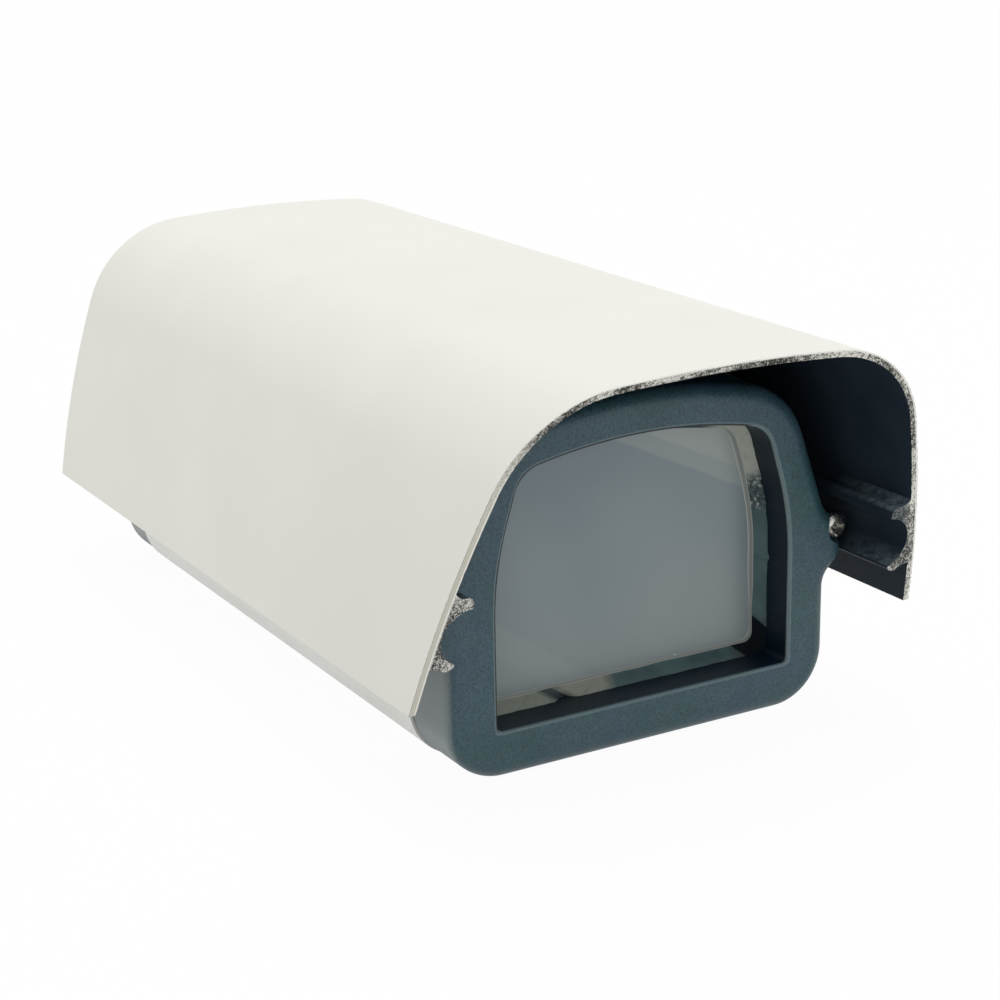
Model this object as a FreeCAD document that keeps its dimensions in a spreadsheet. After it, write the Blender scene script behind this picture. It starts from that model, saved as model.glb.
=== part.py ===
import FreeCAD, Part
import math
import os
import Sketcher
from FreeCAD import Placement, Rotation, Vector

# Small aluminium security camera housing.
# X is the width, the window faces -Y and Z is up. The origin is the mouth of the
# middle bracket hole on the underside. All lengths are in millimetres.

values = {
    # Sunshield: three tangent arcs a side, extruded, with the front sawn at a slant; it
    # stands out from the tube's own width, top and ends
    "shieldOut": 12.0,
    "shieldBase": 20.0,
    "shieldRise": 9.5,
    "shieldCrownRadius": 310.0,
    "shieldCornerRadius": 23.4,
    "shieldSideRadius": 212.0,
    "shieldSideDrop": 31.8,
    "shieldWall": 1.25,
    "shieldAhead": 23.0,
    "shieldBehind": 17.0,
    "shieldSlant": 16.4,
    "sawMargin": 3.0,
    # Rail: a round bead on the tube that runs in a hooked channel of the shield
    "railOut": 2.4,
    "railHeight": 33.2,
    "railRadius": 5.0,
    "railGap": 0.3,
    "upperLipIn": 0.2,
    "upperLipThickness": 2.2,
    "upperRootRise": 8.6,
    "upperValleyOut": 2.6,
    "lipNick": 0.8,
    "lowerLipIn": 2.2,
    "lowerLipDrop": 5.4,
    "lowerHeelOut": 4.0,
    "lowerHeelDrop": 6.1,
    "lowerRootDrop": 4.7,
    # Tube: extruded, flat foot, sides that lean in above a knee, low crown
    "tubeLength": 125.0,
    "tubeWidth": 80.0,
    "tubeFootRadius": 11.0,
    "tubeKnee": 37.1,
    "tubeLean": 19.3,
    "tubeShoulderRadius": 15.7,
    "tubeTop": 65.5,
    "tubeCrownRadius": 106.0,
    "tubeWall": 2.0,
    "portDepth": 16.0,
    # Window outline: the same family of arcs, set in from the tube's side and top
    "windowIn": 9.3,
    "windowBase": 9.35,
    "windowFootRadius": 1.2,
    "windowKnee": 37.9,
    "windowKneeRadius": 56.0,
    "windowLean": 17.1,
    "windowShoulderRadius": 6.3,
    "windowDrop": 7.6,
    "windowCrownRadius": 106.0,
    # End castings
    "castingStep": 0.35,
    "gasketThickness": 0.8,
    "gasketInset": 0.2,
    "gasketGap": 0.05,
    "bezelDepth": 14.0,
    "capDepth": 11.8,
    "capWall": 3.0,
    "capSide": 2.5,
    "plugDepth": 6.0,
    "plugGap": 0.3,
    "edgeRadius": 2.9,
    "mouthRadius": 0.4,
    "lipDepth": 8.2,
    # Ears of the castings
    "earReach": 1.0,
    "earDrop": 9.2,
    "earRoot": 5.0,
    "earRise": 0.3,
    "earFootFillet": 4.0,
    "earTipFillet": 3.0,
    "earNeckFillet": 5.0,
    # Glass and sealant
    "glassThickness": 3.0,
    "glassLap": 3.0,
    "glassGap": 0.3,
    "beadWidth": 2.2,
    "beadHeight": 1.5,
    "beadFootRadius": 2.0,
    "beadGap": 0.05,
    "bondLap": 0.8,
    "bondThickness": 2.0,
    # Screws of the ears
    "screwRadius": 1.45,
    "screwGap": 0.05,
    "screwLength": 21.0,
    "screwHeadRadius": 2.6,
    "screwHeadHeight": 2.0,
    "screwHeadFlat": 1.4,
    "screwHeadBevel": 2.3,
    "screwHeadCrown": 0.6,
    "screwSeatDepth": 3.0,
    "screwPocketRadius": 2.9,
    "crossWidth": 0.7,
    "crossLength": 3.0,
    "crossDepth": 1.2,
    # Bracket bar in the floor
    "bracketTapRadius": 2.6,
    "bracketPitch": 25.0,
    "barWidth": 16.0,
    "barThickness": 6.0,
    "barLength": 84.0,
    "barScrewInset": 6.0,
    "barScrewRadius": 1.5,
    "barScrewHeadRadius": 2.8,
    "barScrewHeadHeight": 0.9,
    "barScrewGap": 0.05,
    # Camera sled and the ledges that it runs between
    "sledHeight": 14.0,
    "sledThickness": 2.0,
    "sledLength": 96.0,
    "sledGap": 0.15,
    "sledSideGap": 0.4,
    "sledCorner": 3.0,
    "ledgeDepth": 3.5,
    "ledgeThickness": 1.6,
    "slotWidth": 6.9,
    "slotLength": 74.0,
    "tabWidth": 30.0,
    "tabHeight": 12.0,
    "tabHoleRadius": 3.5,
    # Rubber pad under the camera
    "padWidth": 44.0,
    "padEnd": 3.0,
    "padSlotSide": 1.6,
    "padThickness": 1.0,
    # Camera screw and its washer
    "cameraScrewRadius": 3.1,
    "cameraScrewReach": 6.0,
    "cameraNeckRadius": 2.6,
    "cameraScrewBack": 4.0,
    "cameraHeadRadius": 7.0,
    "cameraHeadHeight": 4.0,
    "knurlDepth": 0.35,
    "coinSlotWidth": 1.6,
    "coinSlotDepth": 1.4,
    "washerRadius": 7.5,
    "washerThickness": 1.0,
    "washerGap": 0.05,
    "washerBoreGap": 0.15,
    # Lock screws of the shield
    "lockRadius": 1.45,
    "lockGap": 0.05,
    "lockLength": 4.0,
    "lockOut": 4.2,
    "lockInset": 17.5,
    "lockSocketRadius": 0.75,
    "lockSocketDepth": 1.5,
    "lockTipGap": 0.25,
    # Cable glands, thread 12.5 mm
    "glandAcross": 17.0,
    "glandHeight": 24.0,
    "glandThreadRadius": 6.2,
    "glandHoleGap": 0.15,
    "glandInner": 8.0,
    "glandBoreRadius": 3.8,
    "glandFlats": 15.0,
    "glandFlange": 5.0,
    "glandNeck": 7.0,
    "glandNeckRadius": 6.0,
    "glandCupRadius": 4.9,
    "glandCupFloor": 6.0,
    "hexChamfer": 0.6,
    "locknutFlats": 17.0,
    "locknutThickness": 4.5,
    "locknutGap": 0.1,
    "sealGap": 0.08,
    "sealBoreRadius": 2.6,
    "sealStand": 1.0,
    "nutGap": 0.06,
    "nutLift": 0.6,
    "nutHexLength": 6.4,
    "nutShoulder": 0.6,
    "nutRoofGap": 0.32,
    "nutRoofThickness": 1.8,
    "nutMouthRadius": 3.4,
    "nutEndRadius": 4.8,
    "nutLength": 12.9,
}
knurlCount = 24
bracketHoles = 3


class Size:
    """A number, kept together with the spreadsheet expression that gives it."""

    def __init__(self, number, text):
        self.number = float(number)
        self.text = text

    def join(self, other, sign, number):
        return Size(number, "(" + self.text + sign + asSize(other).text + ")")

    def __add__(self, other):
        return self.join(other, " + ", self.number + asSize(other).number)

    def __sub__(self, other):
        return self.join(other, " - ", self.number - asSize(other).number)

    def __mul__(self, other):
        return self.join(other, " * ", self.number * asSize(other).number)

    def __truediv__(self, other):
        return self.join(other, " / ", self.number / asSize(other).number)

    def __neg__(self):
        return Size(-self.number, "(0 - " + self.text + ")")


def asSize(value):
    return value if isinstance(value, Size) else Size(value, str(value))


def tangent(angle):
    return Size(math.tan(math.radians(angle.number)), "tan(" + angle.text + ")")


def root(size):
    return Size(math.sqrt(size.number), "sqrt(" + size.text + ")")


class Sizes:
    """The spreadsheet's cells as attributes: size.tubeLength and so on."""

    def __init__(self, document):
        sheet = document.addObject("Spreadsheet::Sheet", "Sizes")
        for row, (name, value) in enumerate(values.items(), start=1):
            sheet.set("A%d" % row, name)
            sheet.set("B%d" % row, str(value))
            sheet.setAlias("B%d" % row, name)
            setattr(self, name, Size(value, "Sizes." + name))


doc = FreeCAD.newDocument("CameraHousing")
size = Sizes(doc)
doc.recompute()
zero = asSize(0)

# Places that follow the tube's side and top
railAcross = size.tubeWidth / 2 + size.railOut
shieldHalf = size.tubeWidth / 2 + size.shieldOut
shieldTop = size.tubeTop + size.shieldRise
windowHalf = size.tubeWidth / 2 - size.windowIn
windowTop = size.tubeTop - size.windowDrop
padTop = size.sledHeight + size.sledThickness + size.padThickness
outlines = {
    "tube": {"half": size.tubeWidth / 2, "base": zero, "top": size.tubeTop, "bend": None},
    "window": {"half": windowHalf, "base": size.windowBase, "top": windowTop,
               "bend": size.windowKneeRadius},
}

# Stations along Y, as distances from the middle of the tube
rim = size.tubeLength / 2
shieldFront = rim + size.shieldAhead
shieldRear = rim + size.shieldBehind
lockBack = rim - size.lockInset
flange = rim + size.gasketThickness
plugEnd = flange - size.plugDepth
bezelFace = flange + size.bezelDepth
capFace = flange + size.capDepth
glassFace = bezelFace - size.lipDepth
glassBack = glassFace - size.glassThickness

# Offsets inward from the tube's outline
plugOffset = size.tubeWall + size.plugGap
ledgeFoot = size.sledHeight - size.sledGap - size.ledgeThickness
ledgeHead = size.sledHeight + size.sledThickness + size.sledGap + size.ledgeThickness
ledgeEdge = size.tubeWidth / 2 - size.tubeWall - size.ledgeDepth
portRadius = size.screwRadius + size.screwGap
channelRadius = size.railRadius + size.railGap


class Drawing:
    """A sketch on one of the body's own planes, with its sizes bound to the sheet."""

    def __init__(self, body, name, plane="XZ_Plane", height=zero):
        self.sketch = body.newObject("Sketcher::SketchObject", name)
        support = [item for item in body.Origin.OriginFeatures if item.Role == plane]
        self.sketch.AttachmentSupport = [(support[0], "")]
        self.sketch.MapMode = "FlatFace"
        self.sketch.setExpression("AttachmentOffset.Base.z", height.text)

    def constrain(self, kind, *where):
        self.sketch.addConstraint(Sketcher.Constraint(kind, *where))

    def bind(self, value, kind, *where):
        index = self.sketch.addConstraint(Sketcher.Constraint(kind, *where, value.number))
        self.sketch.setExpression("Constraints[%d]" % index, value.text)

    def at(self, element, point, across, up):
        self.bind(across, "DistanceX", -1, 1, element, point)
        self.bind(up, "DistanceY", -1, 1, element, point)

    def line(self, start, end):
        segment = Part.LineSegment(Vector(*start, 0), Vector(*end, 0))
        return self.sketch.addGeometry(segment, False)

    def arc(self, centre, radius, start, end):
        circle = Part.Circle(Vector(*centre, 0), Vector(0, 0, 1), radius)
        angles = (math.radians(start), math.radians(end))
        return self.sketch.addGeometry(Part.ArcOfCircle(circle, *angles), False)

    def circle(self, across, up, radius):
        centre = Vector(across.number, up.number, 0)
        index = self.sketch.addGeometry(Part.Circle(centre, Vector(0, 0, 1), radius.number), False)
        self.at(index, 3, across, up)
        self.bind(radius, "Radius", index)

    def polygon(self, points):
        points = [(asSize(across), asSize(up)) for across, up in points]
        ends = [(across.number, up.number) for across, up in points]
        lines = [self.line(ends[i], ends[(i + 1) % len(ends)]) for i in range(len(ends))]
        for i, index in enumerate(lines):
            self.constrain("Coincident", index, 2, lines[(i + 1) % len(lines)], 1)
            self.at(index, 1, *points[i])

    def rectangle(self, left, low, right, high):
        self.polygon([(left, low), (right, low), (right, high), (left, high)])

    def hexagon(self, across, up, flats):
        # A regular hexagon with two flats level, held by its construction circle
        corner = flats / 2 / math.cos(math.radians(30))
        half = flats / 2
        points = [(corner, zero), (corner / 2, half), (-corner / 2, half)]
        points += [(-corner, zero), (-corner / 2, -half), (corner / 2, -half)]
        self.polygon([(across + x, up + y) for x, y in points])


def archCentres(halfWidth, knee, lean, shoulder, top, crown):
    """The shoulder arc touches the leaning line and, from inside, the crown's circle."""
    angle = math.radians(lean)
    along = (-math.sin(angle), math.cos(angle))
    inward = (-math.cos(angle), -math.sin(angle))
    x = halfWidth + shoulder * inward[0]
    z = knee + shoulder * inward[1] - (top - crown)
    b = x * along[0] + z * along[1]
    step = -b + math.sqrt(b * b - x * x - z * z + (crown - shoulder) ** 2)
    centre = (x + step * along[0], z + step * along[1] + top - crown)
    return centre, math.degrees(math.atan2(centre[0], centre[1] - top + crown))


def houseOutline(drawing, family, offset, foot=None):
    """Flat foot, upright sides, a knee, leaning sides, shoulders and a low crown.

    Positive offsets shrink the outline named by family, all round, by that much. The knee is
    sharp, or an arc where the family gives its radius.
    """
    cell = {name: getattr(size, family + name) for name in (
        "Knee", "Lean", "ShoulderRadius", "CrownRadius", "FootRadius")}
    base = outlines[family]["base"] + offset
    half = outlines[family]["half"] - offset
    foot = foot or cell["FootRadius"] - offset
    knee = cell["Knee"] - offset * tangent(cell["Lean"] / 2)
    shoulder = cell["ShoulderRadius"] - offset
    crown = cell["CrownRadius"] - offset
    crownMiddle = outlines[family]["top"] - cell["CrownRadius"]
    lean = cell["Lean"]
    bend = outlines[family]["bend"]
    sideTop = knee
    if bend:
        bend = bend - offset
        sideTop = knee - bend * tangent(lean / 2)

    w, b, f, k, s, c, a = (v.number for v in (half, base, foot, sideTop, shoulder, crown, lean))
    kneeX, kneeZ = w, k
    if bend:
        kneeX = w - bend.number * (1 - math.cos(math.radians(a)))
        kneeZ = k + bend.number * math.sin(math.radians(a))
    (sx, sz), turn = archCentres(w, k, a, s, crownMiddle.number + c, c)
    leanX = sx + s * math.cos(math.radians(a))
    leanZ = sz + s * math.sin(math.radians(a))

    flat = drawing.line((-(w - f), b), (w - f, b))
    footRight = drawing.arc((w - f, b + f), f, -90, 0)
    sideRight = drawing.line((w, b + f), (w, k))
    leanRight = drawing.line((kneeX, kneeZ), (leanX, leanZ))
    shoulderRight = drawing.arc((sx, sz), s, a, 90 - turn)
    crownArc = drawing.arc((0, crownMiddle.number), c, 90 - turn, 90 + turn)
    shoulderLeft = drawing.arc((-sx, sz), s, 90 + turn, 180 - a)
    leanLeft = drawing.line((-leanX, leanZ), (-kneeX, kneeZ))
    sideLeft = drawing.line((-w, k), (-w, b + f))
    footLeft = drawing.arc((-(w - f), b + f), f, 180, 270)

    kneeRight, kneeLeft = [], []
    if bend:
        kneeRight = [drawing.arc((w - bend.number, k), bend.number, 0, a)]
        kneeLeft = [drawing.arc((bend.number - w, k), bend.number, 180 - a, 180)]
        for index in kneeRight + kneeLeft:
            drawing.bind(bend, "Radius", index)
    chain = [flat, footRight, sideRight, *kneeRight, leanRight, shoulderRight, crownArc]
    chain += [shoulderLeft, leanLeft, *kneeLeft, sideLeft, footLeft]
    knees = ((sideRight, leanRight), (leanLeft, sideLeft))
    for here, following in zip(chain, chain[1:] + chain[:1]):
        kind = "Coincident" if (here, following) in knees else "Tangent"
        drawing.constrain(kind, here, 2, following, 1)
    drawing.constrain("Horizontal", flat)
    drawing.constrain("Vertical", sideRight)
    drawing.constrain("Vertical", sideLeft)
    drawing.constrain("Horizontal", sideRight, 2, sideLeft, 1)
    drawing.constrain("Equal", footRight, footLeft)
    drawing.constrain("Equal", shoulderRight, shoulderLeft)
    drawing.constrain("PointOnObject", crownArc, 3, -2)
    drawing.bind(base, "DistanceY", -1, 1, flat, 1)
    drawing.bind(half, "DistanceX", -1, 1, sideRight, 1)
    drawing.bind(half, "DistanceX", sideLeft, 1, -1, 1)
    drawing.bind(sideTop, "DistanceY", -1, 1, sideRight, 2)
    drawing.bind(foot, "Radius", footRight)
    drawing.bind(shoulder, "Radius", shoulderRight)
    drawing.bind(crown, "Radius", crownArc)
    drawing.bind(crownMiddle, "DistanceY", -1, 1, crownArc, 3)
    drawing.bind(lean + 90, "Angle", leanRight)
    drawing.bind(-(lean + 90), "Angle", leanLeft)


# Centres of the shield's side arcs
shieldSideUp = size.shieldBase - size.shieldSideDrop
shieldSideAcross = shieldHalf - root(
    size.shieldSideRadius * size.shieldSideRadius - size.shieldSideDrop * size.shieldSideDrop)


def shieldSurface(height, depth):
    """How far out the shield's side lies at a height, at a depth into its wall."""
    radius = size.shieldSideRadius - depth
    rise = height - shieldSideUp
    return shieldSideAcross + root(radius * radius - rise * rise)


def shieldOutline(drawing, offset):
    """Bent sides, round corners and a low crown, closed by a line at the lower edge."""
    crown = size.shieldCrownRadius - offset
    corner = size.shieldCornerRadius - offset
    side = size.shieldSideRadius - offset
    crownUp = shieldTop - size.shieldCrownRadius

    # The corner's centre lies where two circles about the other centres meet
    ax, az = shieldSideAcross.number, shieldSideUp.number
    cz = crownUp.number
    near = side.number - corner.number
    far = crown.number - corner.number
    gap = math.hypot(ax, az - cz)
    along = (near ** 2 - far ** 2 + gap ** 2) / (2 * gap)
    aside = math.sqrt(near ** 2 - along ** 2)
    ux, uz = -ax / gap, (cz - az) / gap
    x = ax + along * ux - aside * uz
    z = az + along * uz + aside * ux
    if x < 0:
        x = ax + along * ux + aside * uz
        z = az + along * uz - aside * ux

    base = size.shieldBase.number
    low = math.degrees(math.asin((base - az) / side.number))
    bend = math.degrees(math.atan2(z - az, x - ax))
    turn = math.degrees(math.atan2(x, z - cz))
    edge = ax + side.number * math.cos(math.radians(low))

    flat = drawing.line((-edge, base), (edge, base))
    sideRight = drawing.arc((ax, az), side.number, low, bend)
    cornerRight = drawing.arc((x, z), corner.number, bend, 90 - turn)
    crownArc = drawing.arc((0, cz), crown.number, 90 - turn, 90 + turn)
    cornerLeft = drawing.arc((-x, z), corner.number, 90 + turn, 180 - bend)
    sideLeft = drawing.arc((-ax, az), side.number, 180 - bend, 180 - low)

    chain = [flat, sideRight, cornerRight, crownArc, cornerLeft, sideLeft]
    for here, following in zip(chain, chain[1:] + chain[:1]):
        kind = "Coincident" if flat in (here, following) else "Tangent"
        drawing.constrain(kind, here, 2, following, 1)
    drawing.constrain("Horizontal", flat)
    drawing.constrain("PointOnObject", crownArc, 3, -2)
    drawing.constrain("Equal", sideRight, sideLeft)
    drawing.bind(size.shieldBase, "DistanceY", -1, 1, flat, 1)
    drawing.at(sideRight, 3, shieldSideAcross, shieldSideUp)
    drawing.at(sideLeft, 3, -shieldSideAcross, shieldSideUp)
    drawing.bind(crownUp, "DistanceY", -1, 1, crownArc, 3)
    drawing.bind(side, "Radius", sideRight)
    drawing.bind(corner, "Radius", cornerRight)
    drawing.bind(corner, "Radius", cornerLeft)
    drawing.bind(crown, "Radius", crownArc)


def newBody(label):
    body = doc.addObject("PartDesign::Body", label)
    body.Label = label
    return body


def feature(kind, body, drawing, length=None, reverse=False, both=False):
    """A pad, pocket or other sketch-based feature, with its length bound to the sheet."""
    item = body.newObject("PartDesign::" + kind, kind)
    item.Profile = drawing.sketch
    item.Reversed = reverse
    if both:
        item.SideType = "Symmetric"
    if length is None:
        item.Type = "ThroughAll"
    else:
        item.setExpression("Length", length.text)
    return item


def turned(kind, body, points, name):
    """A revolution or groove of (radius, height) points about the body's own Y axis."""
    drawing = Drawing(body, name, "XY_Plane")
    drawing.polygon(points)
    item = body.newObject("PartDesign::" + kind, kind)
    item.Profile = drawing.sketch
    item.ReferenceAxis = (drawing.sketch, ["V_Axis"])
    item.Angle = 360
    return item


def mirrorAcross(body, features):
    item = body.newObject("PartDesign::Mirrored", "Mirrored")
    item.Originals = features
    plane = [part for part in body.Origin.OriginFeatures if part.Role == "YZ_Plane"]
    item.MirrorPlane = (plane[0], [""])
    body.Tip = item
    return item


def filletEdges(body, base, radius, chosen):
    """Round the edges of the base feature that the test picks."""
    doc.recompute()
    names = ["Edge%d" % (i + 1) for i, edge in enumerate(base.Shape.Edges) if chosen(edge)]
    item = body.newObject("PartDesign::Fillet", "Fillet")
    item.Base = (base, names)
    item.setExpression("Radius", radius.text)
    return item


def runsAlongY(edge, across, up, reach=0.6):
    """True for a straight edge along Y near a place in the width and height."""
    a, b = edge.Vertexes[0].Point, edge.Vertexes[-1].Point
    level = abs(a.x - b.x) < 1e-6 and abs(a.z - b.z) < 1e-6 and abs(a.y - b.y) > 1e-3
    return level and math.hypot(abs(a.x) - across, a.z - up) < reach


def liesAtY(edge, y):
    return all(abs(vertex.Point.y - y) < 1e-6 for vertex in edge.Vertexes)


def place(body, across=zero, along=zero, up=zero, turn=0):
    body.Placement = Placement(Vector(0, 0, 0), Rotation(Vector(0, 0, 1), turn))
    body.setExpression("Placement.Base.x", across.text)
    body.setExpression("Placement.Base.y", along.text)
    body.setExpression("Placement.Base.z", up.text)


def mirroredPair(label, body):
    """One node of two solids: a body and its image in the middle plane."""
    image = doc.addObject("Part::Mirroring", label + "Image")
    image.Source = body
    image.Normal = Vector(1, 0, 0)
    joined(label, [body, image])


def joined(label, solids):
    group = doc.addObject("Part::Compound", label)
    group.Label = label
    group.Links = solids


# Sunshield
def makeSunshield():
    body = newBody("sunshield")
    rise = shieldTop - size.shieldBase
    sawRun = rise * tangent(size.shieldSlant)
    blankFront = shieldFront + sawRun + size.sawMargin

    outside = Drawing(body, "ShieldOutside", height=blankFront)
    shieldOutline(outside, zero)
    feature("Pad", body, outside, blankFront + shieldRear, reverse=True)
    inside = Drawing(body, "ShieldInside", height=blankFront)
    shieldOutline(inside, size.shieldWall)
    feature("Pocket", body, inside)

    rail = makeShieldRail(body, blankFront)
    mirrorAcross(body, rail)

    saw = Drawing(body, "SlantedCut", "YZ_Plane")
    below = size.shieldBase - size.sawMargin
    above = shieldTop + size.sawMargin
    slip = size.sawMargin * tangent(size.shieldSlant)
    beyond = -(blankFront + slip + size.sawMargin)
    saw.polygon([(slip - shieldFront, below), (-(shieldFront + sawRun + slip), above),
                 (beyond, above), (beyond, below)])
    feature("Pocket", body, saw, both=True)


def makeShieldRail(body, blankFront):
    """The hooked lips and, between them, the round channel that holds the tube's bead."""
    axis, height = railAcross, size.railHeight
    upperRoot = height + size.upperRootRise
    lowerRoot = height - size.lowerRootDrop
    lipTop = height + channelRadius + size.upperLipThickness
    middle = size.shieldWall / 2
    profile = [
        (shieldSurface(lowerRoot, middle), lowerRoot),
        (shieldSurface(upperRoot, middle), upperRoot),
        (axis + size.upperValleyOut, lipTop),
        (axis + size.upperLipIn + size.lipNick, lipTop),
        (axis + size.upperLipIn, lipTop - size.lipNick),
        (axis + size.upperLipIn, height + size.railRadius),
        (axis + size.lowerLipIn, height - size.railRadius + size.railGap),
        (axis + size.lowerLipIn, height - size.lowerLipDrop),
        (axis + size.lowerHeelOut, height - size.lowerHeelDrop),
        (axis + size.lowerHeelOut + size.lipNick, height - size.lowerHeelDrop + size.lipNick),
    ]
    lips = Drawing(body, "RailLips", height=blankFront)
    lips.polygon(profile)
    length = blankFront + shieldRear
    block = feature("Pad", body, lips, length, reverse=True)
    channel = Drawing(body, "RailChannel", height=blankFront)
    channel.circle(axis, height, channelRadius)
    groove = feature("Pocket", body, channel)

    lock = Drawing(body, "LockHole", "XY_Plane", height - size.lowerHeelDrop - size.lipNick)
    lock.circle(axis + size.lockOut, lockBack, size.lockRadius + size.lockGap)
    hole = feature("Pocket", body, lock, size.lowerHeelDrop, reverse=True)
    return [block, groove, hole]


def makeLockScrews():
    """Flat-ended set screws under the lower lips, a little short of the bead."""
    body = newBody("lock_screw")
    reach = size.lockOut - size.lockRadius
    beadUnder = size.railHeight - root(size.railRadius * size.railRadius - reach * reach)
    top = beadUnder - size.lockTipGap
    shank = Drawing(body, "Shank", "XY_Plane")
    shank.circle(zero, zero, size.lockRadius)
    feature("Pad", body, shank, size.lockLength)
    socket = Drawing(body, "Socket", "XY_Plane")
    socket.hexagon(zero, zero, size.lockSocketRadius * 2)
    feature("Pocket", body, socket, size.lockSocketDepth, reverse=True)
    place(body, railAcross + size.lockOut, lockBack, top - size.lockLength)
    mirroredPair("shield_lock_screws", body)


# Tube
def makeTube():
    body = newBody("body_tube")
    outside = Drawing(body, "TubeOutside")
    houseOutline(outside, "tube", zero)
    feature("Pad", body, outside, size.tubeLength, both=True)

    beads = Drawing(body, "RailBeads")
    beads.circle(railAcross, size.railHeight, size.railRadius)
    beads.circle(-railAcross, size.railHeight, size.railRadius)
    feature("Pad", body, beads, size.tubeLength, both=True)

    inside = Drawing(body, "TubeInside")
    houseOutline(inside, "tube", size.tubeWall)
    feature("Pocket", body, inside, both=True)

    ledges = Drawing(body, "SledLedges")
    wallMiddle = size.tubeWidth / 2 - size.tubeWall / 2
    lowHead = ledgeFoot + size.ledgeThickness
    highFoot = ledgeHead - size.ledgeThickness
    for low, high in ((ledgeFoot, lowHead), (highFoot, ledgeHead)):
        ledges.rectangle(ledgeEdge, low, wallMiddle, high)
        ledges.rectangle(-wallMiddle, low, -ledgeEdge, high)
    feature("Pad", body, ledges, size.tubeLength, both=True)

    for end, reverse in ((rim, False), (-rim, True)):
        ports = Drawing(body, "ScrewPorts", height=end)
        ports.circle(railAcross, size.railHeight, portRadius)
        ports.circle(-railAcross, size.railHeight, portRadius)
        feature("Pocket", body, ports, size.portDepth, reverse=reverse)

    drillFloor(body, size.tubeWall)
    seats = Drawing(body, "BarScrewSeats", "XY_Plane")
    for along in barScrewPlaces():
        seats.circle(zero, along, size.barScrewHeadRadius + size.barScrewGap)
    feature("Pocket", body, seats, size.barScrewHeadHeight + size.barScrewGap, reverse=True)


def barScrewPlaces():
    away = size.barLength / 2 - size.barScrewInset
    return [away, -away]


def drillFloor(body, depth):
    """The tapped bracket holes and the holes of the bar's own screws, up from z = 0."""
    holes = Drawing(body, "FloorHoles", "XY_Plane")
    for i in range(bracketHoles):
        holes.circle(zero, size.bracketPitch * (i - (bracketHoles - 1) / 2), size.bracketTapRadius)
    for along in barScrewPlaces():
        holes.circle(zero, along, size.barScrewRadius + size.barScrewGap)
    feature("Pocket", body, holes, depth, reverse=True)


def makeMountBar():
    body = newBody("mount_bar")
    bar = Drawing(body, "Bar", "XY_Plane", size.tubeWall)
    bar.rectangle(-size.barWidth / 2, -size.barLength / 2, size.barWidth / 2, size.barLength / 2)
    feature("Pad", body, bar, size.barThickness)
    drillFloor(body, size.tubeWall + size.barThickness)


def makeBarScrews():
    """Thin-headed screws, heads flush in the tube's floor, in one node."""
    screws = []
    for name, along in zip(("Front", "Rear"), barScrewPlaces()):
        body = newBody("bar_screw" + name)
        head = Drawing(body, "Head", "XY_Plane")
        head.circle(zero, zero, size.barScrewHeadRadius)
        feature("Pad", body, head, size.barScrewHeadHeight)
        shank = Drawing(body, "Shank", "XY_Plane")
        shank.circle(zero, zero, size.barScrewRadius)
        feature("Pad", body, shank, size.tubeWall + size.barThickness)
        socket = Drawing(body, "Socket", "XY_Plane")
        socket.hexagon(zero, zero, size.barScrewRadius)
        feature("Pocket", body, socket, size.barScrewHeadHeight, reverse=True)
        place(body, zero, along)
        screws.append(body)
    joined("bar_screws", screws)


# End castings
def makeCasting(body, depth, front):
    """The block with its eared outline and the plug that enters the tube.

    Sketches on the XZ plane look along +Y, so a positive height lies to the front.
    """
    sign = 1 if front else -1
    block = Drawing(body, "Block", height=flange * sign)
    houseOutline(block, "tube", size.castingStep)
    feature("Pad", body, block, depth, reverse=not front)
    ear = Drawing(body, "Ear", height=flange * sign)
    drawEar(ear)
    earPad = feature("Pad", body, ear, depth, reverse=not front)
    base = mirrorAcross(body, [earPad])

    side = size.tubeWidth / 2 - size.castingStep
    tip = railAcross + size.earReach
    foot = size.railHeight - size.earDrop
    base = filletEdges(body, base, size.earFootFillet,
                       lambda edge: runsAlongY(edge, side.number, foot.number))
    lowTip = foot + (tip - side)
    base = filletEdges(body, base, size.earTipFillet,
                       lambda edge: runsAlongY(edge, tip.number, lowTip.number))
    neck = earNeck(side)
    base = filletEdges(body, base, size.earNeckFillet,
                       lambda edge: runsAlongY(edge, *neck))
    face = -(flange + depth).number if front else (flange + depth).number
    filletEdges(body, base, size.edgeRadius, lambda edge: liesAtY(edge, face))

    plug = Drawing(body, "Plug", height=flange * sign)
    houseOutline(plug, "tube", plugOffset)
    feature("Pad", body, plug, size.plugDepth, reverse=front)
    notch = Drawing(body, "LedgeNotches", height=flange * sign)
    low, high = ledgeFoot - size.plugGap, ledgeHead + size.plugGap
    near, far = ledgeEdge - size.plugGap, size.tubeWidth / 2
    notch.rectangle(near, low, far, high)
    notch.rectangle(-far, low, -near, high)
    feature("Pocket", body, notch, size.plugDepth, reverse=not front)

    outer = flange + depth
    seats = Drawing(body, "ScrewSeats", height=outer * sign)
    holes = Drawing(body, "ScrewHoles", height=outer * sign)
    for across in (railAcross, -railAcross):
        seats.circle(across, size.railHeight, size.screwPocketRadius)
        holes.circle(across, size.railHeight, portRadius + size.screwGap)
    feature("Pocket", body, seats, size.screwSeatDepth, reverse=not front)
    feature("Pocket", body, holes, depth, reverse=not front)


def drawEar(drawing):
    """The right ear: its foot and top slope at 45 degrees out of the casting's side."""
    side = size.tubeWidth / 2 - size.castingStep
    tip = railAcross + size.earReach
    inner = side - size.earRoot
    foot = size.railHeight - size.earDrop
    top = size.railHeight + size.earRise
    drawing.polygon([(inner, foot), (side, foot), (tip, foot + (tip - side)), (tip, top),
                     (inner, top + (tip - inner))])


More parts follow.
